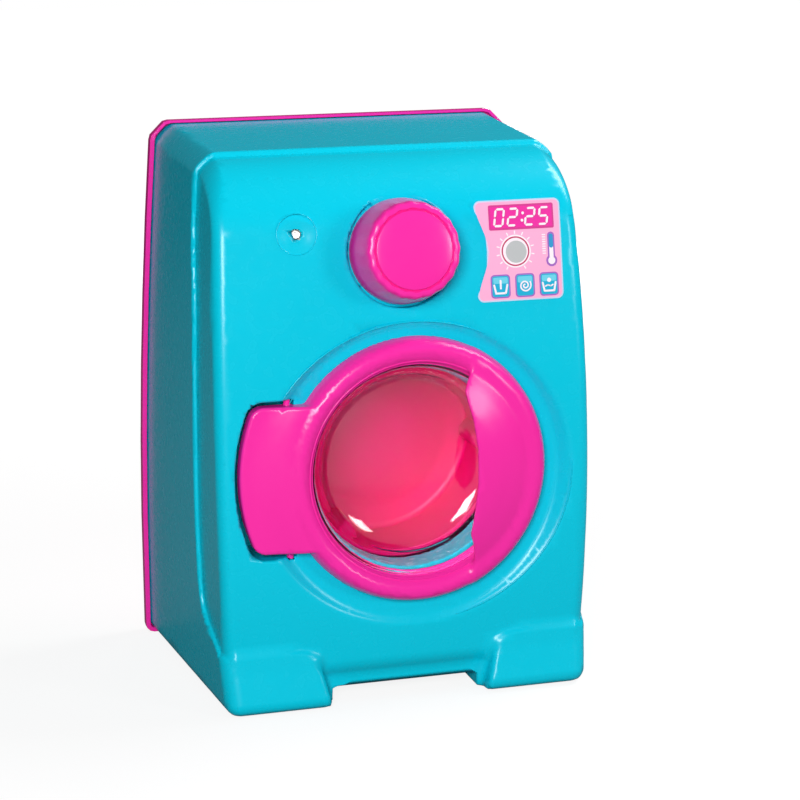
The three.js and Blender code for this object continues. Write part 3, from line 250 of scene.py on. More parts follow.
zincSteel = platedMetal("zincPlatedSteel", {
    "colour": "#B4B8BD", "paleColour": "#D2D5D8", "roughness": 0.26, "duller": 0.14, "crystalWidth": 1.1,
})
brightSilver = platedMetal("silverPlatedCup", {
    "colour": "#D9D6CE", "paleColour": "#FFFFFF", "roughness": 0.18, "duller": 0.14, "crystalWidth": 0.6,
})
boardGreen = mouldedPlastic("solderMaskOnFibreglass", {
    **plasticGrain, "colour": "#1D6B3A", "flowColour": "#216F3E", "roughness": 0.35,
})
cellFilm = mouldedPlastic("shrinkFilmOnBattery", {
    **plasticGrain, "colour": "#C99A33", "flowColour": "#BE8F2C", "roughness": 0.25,
})
say("materials made")


# Shapes given as fields: a field is negative inside the piece and grows by one per millimetre outside it

def lerp(low, high, share):
    return low + (high - low) * share


def commonOf(first, second, radius=0.0, power=2.0):
    # What two fields share, its edge rounded by the radius, or flatter where the power is below 2
    inside = np.minimum(np.maximum(first, second), -radius)
    u = np.maximum(first + radius, 0)
    v = np.maximum(second + radius, 0)
    if isinstance(power, float) and power == 2.0:
        return inside + np.hypot(u, v)
    return inside + (u ** power + v ** power) ** (1 / power)


def unionOf(first, second, radius=0.0):
    return -commonOf(-first, -second, radius)


def cutOf(first, second, radius=0.0):
    return commonOf(first, -second, radius)


def allOf(*fields):
    # What all the fields share, with sharp edges
    shared = fields[0]
    for field in fields[1:]:
        shared = np.maximum(shared, field)
    return shared


def lineAt(points, spread=8, step=0.5, lowest=-60, highest=400):
    # A value for each height, from a few points, with its corners smoothed over a short way
    heights = np.arange(lowest, highest, step)
    order = sorted(points)
    values = np.interp(heights, [p[0] for p in order], [p[1] for p in order])
    weights = np.hanning(int(spread / step) + 2)
    padded = np.pad(values, len(weights) // 2, mode="edge")
    smooth = np.convolve(padded, weights / weights.sum(), mode="same")
    smooth = smooth[len(weights) // 2:len(weights) // 2 + len(heights)]
    slopes = np.gradient(smooth, step)
    return lambda z: (np.interp(z, heights, smooth), np.interp(z, heights, slopes))


def inPlace(place, x, y, z):
    # Across, outwards and up in the frame of a piece that leans back on the face
    dx, dy, dz = x - place["x"], y - place["y"], z - place["z"]
    cos, sin = math.cos(place["lean"]), math.sin(place["lean"])
    return dx, dz * sin - dy * cos, dy * sin + dz * cos


def faceReach(z):
    # How far forwards the face reaches at a height
    s = shellSizes
    share = (z - s["reachHeight"]) / (s["leanHeight"] - s["reachHeight"])
    return s["reach"] - s["lean"] * share ** 2


def faceSlope(z):
    s = shellSizes
    return -2 * s["lean"] * (z - s["reachHeight"]) / (s["leanHeight"] - s["reachHeight"]) ** 2


def frontReach(z):
    return faceReach(z) - shellSizes["frontInset"]


def onFace(x, z):
    return {"x": x, "y": -frontReach(z), "z": z, "lean": math.atan(-faceSlope(z))}


def coverHalf(z):
    c = coverSizes
    share = np.clip((z - c["bellyHeight"]) / (c["height"] - c["chamfer"] - c["bellyHeight"]), 0, 1)
    return c["halfLow"] - c["narrowing"] * share ** c["power"]


def sideHalf(z, depth):
    s = shellSizes
    front = s["frontHalf"] - s["frontTuck"] * ((z - s["frontHalfHeight"]) / s["frontTuckSpan"]) ** 2
    return lerp(coverHalf(z) - s["sideLap"], front, depth / s["reach"])


doorPlace = {
    "x": doorSizes["x"], "y": -doorSizes["floorDepth"], "z": doorSizes["z"], "lean": doorSizes["lean"],
}
knobPlace = onFace(wellSizes["x"], wellSizes["z"])
ledPlace = onFace(ledSizes["x"], ledSizes["z"])


def footReach(z):
    share = np.clip(z / footSizes["height"], 0, 1)
    return lerp(footSizes["reach"], footSizes["topReach"], share)


def bodyField(x, y, z, inset, edge, foot=False):
    # The whole body moved in by the inset, or with the feet's flatter front
    s = shellSizes
    depth = -y
    if foot:
        slope = (footSizes["reach"] - footSizes["topReach"]) / footSizes["height"]
        face = (depth - footReach(z) + inset) / math.hypot(1, slope)
    else:
        face = (depth - faceReach(z) + inset) / np.sqrt(1 + faceSlope(z) ** 2)
    topSlope = s["topFall"] / s["crownDepth"]
    top = (z - s["bodyTop"] + inset + np.maximum(depth, 0) * topSlope) / math.hypot(1, topSlope)
    profile = commonOf(face, top, s["crownRadius"])
    side = commonOf(np.abs(x) - sideHalf(z, depth) + inset, -z, s["floorRound"])
    share = np.clip((z - s["crownFrom"]) / (s["crownTo"] - s["crownFrom"]), 0, 1)
    share = share * share * (3 - 2 * share)
    radius = lerp(edge, s["topEdge"] - inset / 2, share)
    return commonOf(side, profile, radius, lerp(2, s["topEdgePower"], share))


stepDepth = lineAt(stepLine, spread=24)
footHalf = lineAt(footInner, spread=3)
apronDepth = lineAt(apronLine, spread=4)


def lugField(x, z, reach, half, inner, corner, innerRound=0.8):
    # The hinge lug seen from the front: part of a disc, cut flat above, below and towards the door
    radius = np.hypot(x, z)
    return commonOf(commonOf(radius - reach, np.abs(z) - half, corner), x + inner, innerRound)


def outerField(x, y, z):
    # The outside of the shell: the part behind the step, the part in front of it set in, and the feet
    s = shellSizes
    depth = -y
    apron, apronSlope = apronDepth(z)
    front = bodyField(x, y, z, s["frontInset"], s["frontEdge"] - s["frontInset"] / 2)
    front = commonOf(front, (depth - apron) / np.sqrt(1 + apronSlope ** 2), s["apronRound"])
    step, stepSlope = stepDepth(z)
    behind = (depth - step) / np.sqrt(1 + stepSlope ** 2)
    betweenFeet = np.minimum(stepFoot["height"] - z, stepFoot["inner"] - np.abs(x))
    behind = np.minimum(np.maximum(behind, betweenFeet), depth - stepFoot["depth"])
    back = commonOf(bodyField(x, y, z, 0, s["frontEdge"]), behind, s["stepRound"])
    whole = unionOf(front, back, s["stepCove"])
    footIn, footSlope = footHalf(z)
    region = (footIn - np.abs(x)) / np.sqrt(1 + footSlope ** 2)
    region = commonOf(region, z - footSizes["height"], footSizes["corner"])
    feet = commonOf(bodyField(x, y, z, 0, footSizes["edge"], foot=True), region, footSizes["topRound"])
    # No cove at the sides, where feet and body lie in one surface
    inwards = (sideHalf(z, depth) - np.abs(x) - footSizes["fadeFrom"]) / footSizes["sideFade"]
    whole = unionOf(whole, feet, footSizes["cove"] * np.clip(inwards, 0, 1))
    return commonOf(whole, -z, s["bottomRound"])


def shellVoids(x, y, z):
    # What is sunk into the outside: the door's dish, hinge pocket, knob's well, lamp's dish and the underside
    across, out, up = inPlace(doorPlace, x, y, z)
    low = up + dishSizes["low"]
    wall = np.hypot(across, low) - dishSizes["floor"] - dishSizes["widening"] * out
    dish = commonOf(wall / math.hypot(1, dishSizes["widening"]), -out, dishSizes["floorRound"])
    p = pocketSizes
    plan = lugField(across, up, p["reach"], p["half"], p["inner"], p["round"])
    pocket = commonOf(plan, -out - p["depth"], p["floorRound"])
    across, out, up = inPlace(knobPlace, x, y, z)
    w = wellSizes
    well = commonOf(np.hypot(across, up) - w["radius"], -out - w["depth"], w["floorRound"])
    across, out, up = inPlace(ledPlace, x, y, z)
    slant = (ledSizes["dish"] - ledSizes["funnel"]) / ledSizes["depth"]
    funnel = (np.hypot(across, up) - ledSizes["dish"] - slant * out) / math.hypot(1, slant)
    led = commonOf(funnel, -out - ledSizes["depth"], ledSizes["floorRound"])
    tunnel = commonOf(np.abs(x) - tunnelSizes["half"], z - tunnelSizes["height"], tunnelSizes["round"])
    return dish, pocket, well, led, tunnel


def shellField(x, y, z):
    s = shellSizes
    dish, pocket, well, led, tunnel = shellVoids(x, y, z)
    whole = cutOf(outerField(x, y, z), dish, dishSizes["rimRound"])
    whole = cutOf(whole, pocket, pocketSizes["rim"])
    whole = cutOf(whole, well, wellSizes["rim"])
    whole = cutOf(whole, led, ledSizes["rim"])
    whole = cutOf(whole, tunnel, tunnelSizes["rim"])
    shell = np.maximum(whole, -whole - s["wall"])
    across, out, up = inPlace(doorPlace, x, y, z)
    o = openingSizes
    radius = np.hypot(across, up)
    lipBack = -out - o["depth"] - o["lipThick"]
    collar = commonOf(np.maximum(radius - o["radius"] - s["wall"], lipBack), out + o["under"])
    tube = allOf(radius - o["lip"] - o["tubeThick"], out + o["depth"], -out - o["tubeDepth"])
    shell = np.minimum(shell, cutOf(np.minimum(collar, tube), radius - o["lip"]))
    bore = np.minimum(commonOf(radius - o["radius"], -out - o["depth"]), radius - o["lip"])
    shell = cutOf(shell, bore, o["round"])
    e = earSizes
    ear = allOf(
        out - e["front"], -out - e["back"], np.abs(across + hingeSizes["x"]) - e["half"],
        np.abs(np.abs(up) - e["low"] - e["length"] / 2) - e["length"] / 2, whole + e["gap"], -dish,
    )
    shell = np.minimum(shell, ear)
    pin = np.hypot(across + hingeSizes["x"], out - hingeSizes["height"]) - hingeSizes["bore"]
    shell = cutOf(shell, np.maximum(pin, np.abs(up) - hingeSizes["reach"]))
    latch = allOf(
        np.abs(up - doorSizes["latchLift"]) - latchSizes["half"], latchSizes["left"] - across,
        across - latchSizes["right"], -out - latchSizes["depth"],
    )
    shell = cutOf(shell, latch)
    across, out, up = inPlace(knobPlace, x, y, z)
    shell = cutOf(shell, np.maximum(np.hypot(across, up) - wellSizes["hole"], -out - wellSizes["holeDepth"]))
    across, out, up = inPlace(ledPlace, x, y, z)
    shell = cutOf(shell, np.maximum(np.hypot(across, up) - ledSizes["hole"], -out - ledSizes["holeDepth"]))
    cutAway = np.maximum(z - s["footLap"], -y - s["footGap"])
    return allOf(shell, -cutAway, y - s["lapDepth"])


def toFrame(points):
    # From the CAD source's millimetres to the frame's metres
    placed = np.array(points, float) * mm
    placed[:, 1] += rimDepth
    return placed


def finishMesh(name, mesh, material, body, slot, *nodes):
    piece = bpy.data.objects.new(name, mesh)
    bpy.context.scene.collection.objects.link(piece)
    mesh.materials.append(material)
    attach(piece, body)
    if nodes:
        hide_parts(*nodes)
    return piece


def facedPiece(name, points, faces, material, body, slot, smooth=False, bevel=None):
    # A closed piece from points in the CAD source's millimetres, its faces turned outwards
    mesh = bpy.data.meshes.new(name)
    mesh.from_pydata(toFrame(points).tolist(), [], faces)
    shape = bmesh.new()
    shape.from_mesh(mesh)
    if bevel:
        bmesh.ops.bevel(shape, geom=shape.edges[:], affect="EDGES", clamp_overlap=True, profile=0.5, **bevel)
    bmesh.ops.recalc_face_normals(shape, faces=shape.faces)
    shape.to_mesh(mesh)
    shape.free()
    mesh.polygons.foreach_set("use_smooth", [smooth] * len(mesh.polygons))
    return finishMesh(name, mesh, material, body, slot)


def meshFromField(field, low, high, cell, simplify=0.0, rounds=3, least=1e-9):
    # The field's zero surface as a mesh, its points moved on to the surface and its normals taken from
    # the field
    counts = [int(math.ceil((high[i] - low[i]) / cell)) + 1 for i in range(3)]
    axes = [low[i] + cell * np.arange(counts[i]) for i in range(3)]
    x, y, z = np.meshgrid(*axes, indexing="ij", sparse=True)
    values = np.broadcast_to(field(x, y, z), counts)
    band = 3 * cell
    grid = openvdb.FloatGrid(band)
    grid.copyFromArray(np.ascontiguousarray(np.clip(values, -band, band), dtype=np.float32))
    points, triangles, quads = grid.convertToPolygons(0.0, simplify)
    points = np.array(low) + cell * points.astype(float)

    def slopeAt(p, reach=0.02):
        here = [p[:, 0], p[:, 1], p[:, 2]]
        parts = []
        for axis in range(3):
            ahead, behind = list(here), list(here)
            ahead[axis] = here[axis] + reach
            behind[axis] = here[axis] - reach
            parts.append((field(*ahead) - field(*behind)) / (2 * reach))
        return np.stack(parts, axis=1)

    leastSlope, longestStep = 0.5, 0.5 * cell
    for i in range(rounds):
        slope = slopeAt(points)
        length = np.maximum((slope ** 2).sum(axis=1), leastSlope ** 2)
        step = (field(points[:, 0], points[:, 1], points[:, 2]) / length)[:, None] * slope
        size = np.linalg.norm(step, axis=1, keepdims=True)
        points = points - step * np.minimum(1, longestStep / np.maximum(size, least))
    normals = slopeAt(points)
    normals /= np.maximum(np.linalg.norm(normals, axis=1, keepdims=True), least)
    faces = [tuple(q) for q in quads.tolist()] + [tuple(t) for t in triangles.tolist()]
    corners = points[quads]
    across = np.cross(corners[:, 2] - corners[:, 0], corners[:, 3] - corners[:, 1])
    if (across * normals[quads[:, 0]]).sum() < 0:
        faces = [tuple(reversed(f)) for f in faces]
    return points, faces, normals


def fieldPiece(name, field, low, high, sizes, material, body, slot, *nodes):
    points, faces, normals = meshFromField(field, low, high, sizes["cell"], sizes["simplify"])
    mesh = bpy.data.meshes.new(name)
    mesh.from_pydata(toFrame(points).tolist(), [], faces)
    mesh.update()
    mesh.polygons.foreach_set("use_smooth", [True] * len(mesh.polygons))
    mesh.normals_split_custom_set_from_vertices(normals.tolist())
    say(f"{name} has {len(faces)} faces")
    return finishMesh(name, mesh, material, body, slot, *nodes)


# The box in which the shell's surface is looked for
shellLow = (-coverSizes["halfLow"] - 1, -172.5, -1.5)
shellHigh = (coverSizes["halfLow"] + 1, 7, 319)
fieldPiece(
    "frontShell", shellField, shellLow, shellHigh, shellSizes, cyanAbs, "case", "cyan_shell", "front_shell",
)
say("shell made")


# Turned pieces

def roundedLine(points, steps=4):
    # A profile of (radius, height, rounding) points with its corners rounded
    line = []
    count = len(points)
    for i, point in enumerate(points):
        here = Vector(point[:2])
        rounding = point[2] if len(point) > 2 else 0
        if rounding == 0 or i in (0, count - 1):
            line.append(here)
            continue
        before, after = Vector(points[i - 1][:2]) - here, Vector(points[i + 1][:2]) - here
        start = here + before.normalized() * min(rounding, before.length * 0.5)
        end = here + after.normalized() * min(rounding, after.length * 0.5)
        for k in range(steps + 1):
            share = k / steps
            line.append(start.lerp(here, share).lerp(here.lerp(end, share), share))
    return line


turnedSharpAngle = math.radians(38)


def turnedPiece(name, line, place, material, body, slot, nodes=(), sides=192, closed=False, ripple=None):
    # A profile of (radius, height) points turned round the axis of its place
    mesh = bpy.data.meshes.new(name)
    shape = bmesh.new()
    cos, sin = math.cos(place["lean"]), math.sin(place["lean"])
    rings = []
    for radius, height in line:
        ring = []
        for k in range(1 if radius < 1e-6 else sides):
            angle = k / sides * math.tau
            reach = ripple(radius, height, angle) if ripple else radius
            across, up = math.cos(angle) * reach, math.sin(angle) * reach
            depth = -height * cos + up * sin
            ring.append(shape.verts.new((
                (place["x"] + across) * mm,
                (place["y"] + depth) * mm + rimDepth,
                (place["z"] + height * sin + up * cos) * mm,
            )))
        rings.append(ring)
    pairs = list(zip(rings, rings[1:]))
    if closed:
        pairs.append((rings[-1], rings[0]))
    for first, second in pairs:
        for k in range(sides):
            a, b = first[k % len(first)], first[(k + 1) % len(first)]
            c, d = second[(k + 1) % len(second)], second[k % len(second)]
            corners = [v for i, v in enumerate((a, b, c, d)) if v not in (a, b, c, d)[:i]]
            if len(corners) > 2:
                shape.faces.new(corners)
    bmesh.ops.recalc_face_normals(shape, faces=shape.faces)
    shape.to_mesh(mesh)
    shape.free()
    mesh.polygons.foreach_set("use_smooth", [True] * len(mesh.polygons))
    mesh.set_sharp_from_angle(angle=turnedSharpAngle)
    return finishMesh(name, mesh, material, body, slot, *nodes)


knobSizes = {"waves": 20, "waveDepth": 0.55, "waveFrom": 6, "waveTo": 23, "waveRadius": 23.3}
knobLine = roundedLine([
    (0, 9.3), (4.3, 9.3), (4.3, -4.4), (7.5, -4.4), (7.5, 20.6), (23.4, 19.6), (27.3, -4.8),
    (29.8, -4.8, 0.4), (29.7, 1.5, 3), (28.5, 12, 8), (27.2, 21.2, 2.0), (26.2, 23.5, 1.4), (24.4, 24.1, 0.9),
    (23.3, 24.2, 0.3), (22.5, 22.3, 0.3), (21.7, 24.3, 0.3), (17, 25.0, 5), (8, 25.5, 6), (0, 25.6),
])


def knobRipple(radius, height, angle):
    # Shallow waves round the knob's rim, which run out towards its foot
    k = knobSizes
    share = min(max((height - k["waveFrom"]) / (k["waveTo"] - k["waveFrom"]), 0), 1)
    wave = (1 - math.cos(k["waves"] * angle)) / 2
    return radius - k["waveDepth"] * share * wave if radius > k["waveRadius"] else radius


turnedPiece(
    "turningKnob", knobLine, knobPlace, pinkPp, "knob", "pink_moulding", ["knob"], sides=320,
    ripple=knobRipple,
)

windowLine = roundedLine([
    (64.6, 3.8, 0.4), (64.6, 2, 0.3), (61.4, 2, 0.8), (60.2, -1.4, 2), (58.3, -5, 3), (54.8, -10.8, 4),
    (51.8, -16.4, 5), (47, -20, 5), (36, -23, 9), (20, -25.2, 10), (0, -26), (0, -24.4), (20, -23.6, 10),
    (35.6, -21.4, 9), (46, -18.6, 5), (50.2, -15.4, 5), (53.2, -10.2, 4), (56.6, -4.4, 3), (58.4, -0.8, 2),
    (59.4, 2.4, 1.2), (60.8, 3.8, 0.5),
], steps=6)
turnedPiece(
    "clearWindow", windowLine, doorPlace, clearPs, "door", "clear_moulding", ["door_window"], closed=True,
)

lampLine = roundedLine([
    (0, -1), (1.4, -1.3, 0.8), (2.3, -2.2, 0.8), (2.5, -3.4, 0.6), (2.5, -7.4), (3.1, -7.4), (3.1, -8.6),
    (0, -8.6),
])
turnedPiece(
    "lampLens", lampLine, ledPlace, clearEpoxy, "case", "clear_moulding", ["led_lamp"], sides=48,
)
cupLine = [(0, -5.6), (0.6, -5.6), (0.8, -4.6), (1.2, -4.6), (1.9, -2.9), (2.2, -2.9), (2.2, -6.2), (0, -6.2)]
turnedPiece("lampCup", cupLine, ledPlace, brightSilver, "case", "clear_moulding", sides=32)


def beadLine(radius, height, width, sides=10):
    # The round section of a fine raised ring
    turns = [k / sides * math.tau for k in range(sides)]
    return [(radius + width * math.cos(a), height + width * math.sin(a)) for a in turns]


lampBead = beadLine(radius=11.4, height=-0.05, width=0.35)
turnedPiece("lampDishBead", lampBead, ledPlace, cyanAbs, "case", "cyan_shell", sides=96, closed=True)

lean = doorSizes["lean"]
pinPlace = {
    "x": doorPlace["x"] - hingeSizes["x"], "lean": lean + math.pi / 2,
    "y": doorPlace["y"] - hingeSizes["height"] * math.cos(lean),
    "z": doorPlace["z"] + hingeSizes["height"] * math.sin(lean),
}
pinSpans = {"hinge_pin_top": (34, 46.3), "hinge_pin_bottom": (-46.3, -34)}
for node, (start, end) in pinSpans.items():
    reach, edge = hingeSizes["pin"], hingeSizes["pinRound"]
    pinLine = roundedLine([(0, start), (reach, start, edge), (reach, end, edge), (0, end)])
    turnedPiece(
        node.replace("_", ""), pinLine, pinPlace, pinkPp, "case", "pink_moulding", [node], sides=32,
    )
say("turned pieces made")


# Drum: a turned tub with three lifters standing on its wall
drumPlace = {"x": doorSizes["x"], "y": 0, "z": doorSizes["z"], "lean": 0}
drumLine = roundedLine([
    (58, 123.3), (58, 125.5, 0.5), (61, 125.5, 0.6), (62, 123.3, 1), (62, 68.2, 1.5), (59.8, 66, 1),
    (46, 66, 3), (23, 72.4, 6), (9, 74, 0.8), (9, 52.9, 0.5), (3.3, 52.9, 0.3), (3.3, 64.2), (0, 64.2),
    (0, 76), (23, 74.4, 6), (46, 68, 3), (57.8, 68, 2), (60, 70.2, 2), (60, 121.1, 1), (58, 123.3),
])
turnedPiece(
    "drumTub", drumLine[:-1], drumPlace, drumPinkWithPaintedShade, "drum", "pink_moulding", ["drum"], closed=True,
)
lifterSizes = {
    "count": 3, "half": 8, "base": 61, "top": 51.5, "front": 113.9, "back": 69, "taper": 9, "topHalf": 3,
    "edge": 2,
}


def addLifter(number):
    # A tapered rib on the drum's wall, the first one at the right
    s = lifterSizes
    turn = math.tau * number / s["count"] + math.pi / 2
    cos, sin = math.cos(turn), math.sin(turn)
    points = []
    for reach, half, front, back in (
        (s["base"], s["half"], s["front"], s["back"]),
        (s["top"], s["topHalf"], s["front"] - s["taper"], s["back"] + s["taper"]),
    ):
        for across, depth in ((-half, front), (half, front), (half, back), (-half, back)):
            points.append((
                drumPlace["x"] + across * cos + reach * sin, -depth,
                drumPlace["z"] + reach * cos - across * sin,
            ))
    faces = [(3, 2, 1, 0), (4, 5, 6, 7), (0, 1, 5, 4), (1, 2, 6, 5), (2, 3, 7, 6), (3, 0, 4, 7)]
    bevel = {"offset": s["edge"] * mm, "segments": 4}
    facedPiece(
        f"drumLifter{number + 1}", points, faces, drumPinkWithPaintedShade, "drum", "pink_moulding", smooth=True,
        bevel=bevel,
    )


for number in range(lifterSizes["count"]):
    addLifter(number)
say("drum made")


# Door moulding: ring, grip and hinge lug in one piece
ringSizes = {
    "outer": 76.5, "soft": 0.15, "gripBlend": 4, "lugBlend": 1.2, "cell": 0.9, "simplify": 0.05,
}
lugSizes = {
    "reach": 102.5, "half": 42, "front": 5.4, "low": 0.5, "back": -3.2, "inner": 70.6, "bridge": 56,
    "round": 5, "edge": 1.8, "wall": 2.2, "rise": 4.9, "riseFrom": 99, "riseTo": 72, "rib": 3,
    "barrel": 3.6, "bore": 8,
}
gripLine = [  # distance from the door's middle, height
    (0, 23.4), (18, 22.6), (31, 21.4), (44, 18.8), (56, 15.2), (65, 11.8), (71.5, 9), (74.6, 6.4), (80, 1),
]
gripEdge = [  # height above the door's middle, distance to its right
    (70, 36), (57, 31.5), (51.8, 28.4), (45.5, 25.6), (38, 27), (29.4, 29.4), (12.6, 31.6), (-8.3, 31.4),
    (-28.1, 29.2), (-37.2, 27.7), (-45, 30.3), (-54, 31.5), (-70, 33),
]
gripSizes = {"thick": 2.4, "reach": 74.6, "edge": 1.1, "backRound": 0.2, "corner": 1}
ringOutline = [
    (76.4, 0.5), (76.3, 2.2), (75.9, 4.4), (75.1, 6.9), (74.2, 8.6), (73.1, 9.9), (72, 10.8), (70.7, 11.3),
    (69.4, 11.5), (68, 11.3), (66.6, 10.8), (65, 9.8), (63.6, 8.6), (62.4, 7.2), (61.6, 5.7), (61.2, 4.3),
    (65.4, 4.3), (65.4, 0.5),
]
notchSizes = {"in": 1.1, "half": 5, "high": 5, "round": 0.4}
gripHeight = lineAt(gripLine, spread=9)
gripLeft = lineAt(gripEdge, spread=5)


def outlineField(points, u, v):
    # Signed distance to a closed outline
    best = None
    inside = None
    count = len(points)
    for i in range(count):
        (u0, v0), (u1, v1) = points[i], points[(i + 1) % count]
        eu, ev = u1 - u0, v1 - v0
        along = np.clip(((u - u0) * eu + (v - v0) * ev) / (eu * eu + ev * ev), 0, 1)
        away = (u - u0 - along * eu) ** 2 + (v - v0 - along * ev) ** 2
        best = away if best is None else np.minimum(best, away)
        crosses = ((v0 > v) != (v1 > v)) & (u < (v - v0) * eu / (ev if ev else 1e-9) + u0)
        inside = crosses if inside is None else inside ^ crosses
    return np.where(inside, -1, 1) * np.sqrt(best)


def doorField(x, y, z):
    # Ring, grip and lug joined, with the latch notch in the ring's edge and the pins' bores in the lug
    across, out, up = inPlace(doorPlace, x, y, z)
    radius = np.hypot(across, up)
    ring = outlineField(ringOutline, radius, out) - ringSizes["soft"]
    height, slope = gripHeight(radius)
    lens = (out - height) / np.sqrt(1 + slope ** 2)
    left, leftSlope = gripLeft(up)
    edge = (left - across) / np.sqrt(1 + leftSlope ** 2)
    pad = commonOf(lens, -lens - gripSizes["thick"], gripSizes["backRound"])
    pad = commonOf(pad, commonOf(edge, radius - gripSizes["reach"], gripSizes["corner"]), gripSizes["edge"])
    g = lugSizes
    plan = lugField(across, up, g["reach"], g["half"], g["bridge"], g["round"])
    share = np.clip((g["riseFrom"] - radius) / (g["riseFrom"] - g["riseTo"]), 0, 1)
    front = out - g["front"] - g["rise"] * share * share * (3 - 2 * share)
    plate = commonOf(plan, front, g["edge"])
    overDish = np.maximum(commonOf(plate, g["low"] - out), g["inner"] - radius)
    inPocket = commonOf(np.maximum(plate, across + g["inner"]), g["back"] - out)
    lug = np.minimum(overDish, inPocket)
    hollow = allOf(plan + g["wall"], front + g["wall"], g["inner"] + g["rib"] - radius)
    lug = np.maximum(lug, -hollow)
    fromAxis = np.hypot(across + hingeSizes["x"], out - hingeSizes["height"])
    barrel = np.maximum(fromAxis - g["barrel"], np.abs(up) - g["half"])
    whole = unionOf(ring, pad, ringSizes["gripBlend"])
    whole = unionOf(whole, lug, ringSizes["lugBlend"])
    whole = np.minimum(whole, barrel)
    n = notchSizes
    notch = allOf(
        ringSizes["outer"] - n["in"] - radius, out - n["high"], -across,
        np.abs(up - doorSizes["latchLift"]) - n["half"],
    )
    whole = cutOf(whole, notch, n["round"])
    bore = np.maximum(fromAxis - hingeSizes["bore"], g["half"] - g["bore"] - np.abs(up))
    return np.maximum(whole, -bore)


# The box in which the door moulding's surface is looked for
doorLow, doorHigh = (-99, -184, 56), (84, -152, 215)
fieldPiece(
    "doorMoulding", doorField, doorLow, doorHigh, ringSizes, pinkPp, "door", "pink_moulding", "door_frame",
)
ringBeads = [{"radius": 63.4, "height": 8.5, "width": 0.55}, {"radius": 61.5, "height": 5.4, "width": 0.5}]
for number, sizes in enumerate(ringBeads):
    turnedPiece(
        f"ringBead{number + 1}", beadLine(**sizes), doorPlace, pinkPp, "door", "pink_moulding", closed=True,
    )
say("door made")


# Fine beads round the door's dish, on the face and where the dish's floor starts, along arcs in degrees
beadSizes = {
    "radius": 0.5, "arcs": [(62, 148), (-75, 2)], "steps": 90, "sides": 8, "endSteps": 12, "tip": 0.05,
    "floorHeight": 0.3, "highest": 16,
}


def dishPoint(angle, height):
    radius = dishSizes["floor"] + dishSizes["widening"] * height
    across, up = np.cos(angle) * radius, np.sin(angle) * radius - dishSizes["low"]
    cos, sin = math.cos(doorPlace["lean"]), math.sin(doorPlace["lean"])
    y = doorPlace["y"] - height * cos + up * sin
    return doorPlace["x"] + across, y, doorPlace["z"] + height * sin + up * cos


def dishBead(name, heights, angles):
    # A round bead along the dish that runs out at both ends
    b = beadSizes
    line = np.stack(dishPoint(angles, heights), axis=1)
    along = np.gradient(line, axis=0)
    along /= np.linalg.norm(along, axis=1, keepdims=True)
    out = np.array([0, -math.cos(doorPlace["lean"]), math.sin(doorPlace["lean"])])
    aside = np.cross(along, out)
    aside /= np.linalg.norm(aside, axis=1, keepdims=True)
    ahead = np.cross(aside, along)
    toEnd = np.minimum(np.arange(len(line)), len(line) - 1 - np.arange(len(line)))
    reach = b["radius"] * np.minimum(1, toEnd / b["endSteps"] + b["tip"]) ** 0.5
    turns = np.arange(b["sides"]) / b["sides"] * math.tau
    points = [line[i] + reach[i] * (np.cos(t) * aside[i] + np.sin(t) * ahead[i])
              for i in range(len(line)) for t in turns]
    n = b["sides"]
    faces = [(i * n + k, i * n + (k + 1) % n, (i + 1) * n + (k + 1) % n, (i + 1) * n + k)
             for i in range(len(line) - 1) for k in range(n)]
    last = (len(line) - 1) * n
    faces += [tuple(reversed(range(n))), tuple(last + k for k in range(n))]
    facedPiece(name, points, faces, cyanAbs, "case", "cyan_shell", smooth=True)


def rimHeights(angles, halvings=24):
    # Where the dish's flared wall meets the outside of the shell
    low, high = np.zeros(len(angles)), np.full(len(angles), float(beadSizes["highest"]))
    for i in range(halvings):
        middle = (low + high) / 2
        outside = outerField(*dishPoint(angles, middle)) > 0
        high, low = np.where(outside, middle, high), np.where(outside, low, middle)
    return low


for number, (start, end) in enumerate(beadSizes["arcs"]):
    angles = np.radians(np.linspace(start, end, beadSizes["steps"]))
    dishBead(f"dishRimBead{number + 1}", rimHeights(angles), angles)
    dishBead(f"dishFloorBead{number + 1}", np.full(len(angles), beadSizes["floorHeight"]), angles)
say("beads made")


# The sticker's print: thin layers of ink that follow the face, drawn as (across, height) outlines
stickerSizes = {
    "left": 43.8, "right": 95, "low": 228.6, "high": 284.8, "corner": 3.6, "waist": 6.6, "waistPower": 0.8,
    "rim": 0.8, "top": 0.7, "ink": 0.06, "overlap": 1.2, "rows": 36,
}
inkColours = {
    "paleBlue": "#C9DDF6", "palePink": "#FFB4DA", "displayRim": "#DA3A93", "display": "#F32CA6",
    "white": "#FFF4FB", "grey": "#BFC3C4", "crimson": "#C42A66", "violet": "#A766C4", "cyan": "#14B4DA",
    "lightCyan": "#6ED6EC", "blue": "#2E9AD2",
}
inks = {
    name: printedVinyl(f"printedVinylFilm{name[0].upper()}{name[1:]}", {
        "colour": colour, "screenWidth": 0.35, "screenHeight": 0.002, "roughness": 0.3, "ior": 1.5,
    })
    for name, colour in inkColours.items()
}


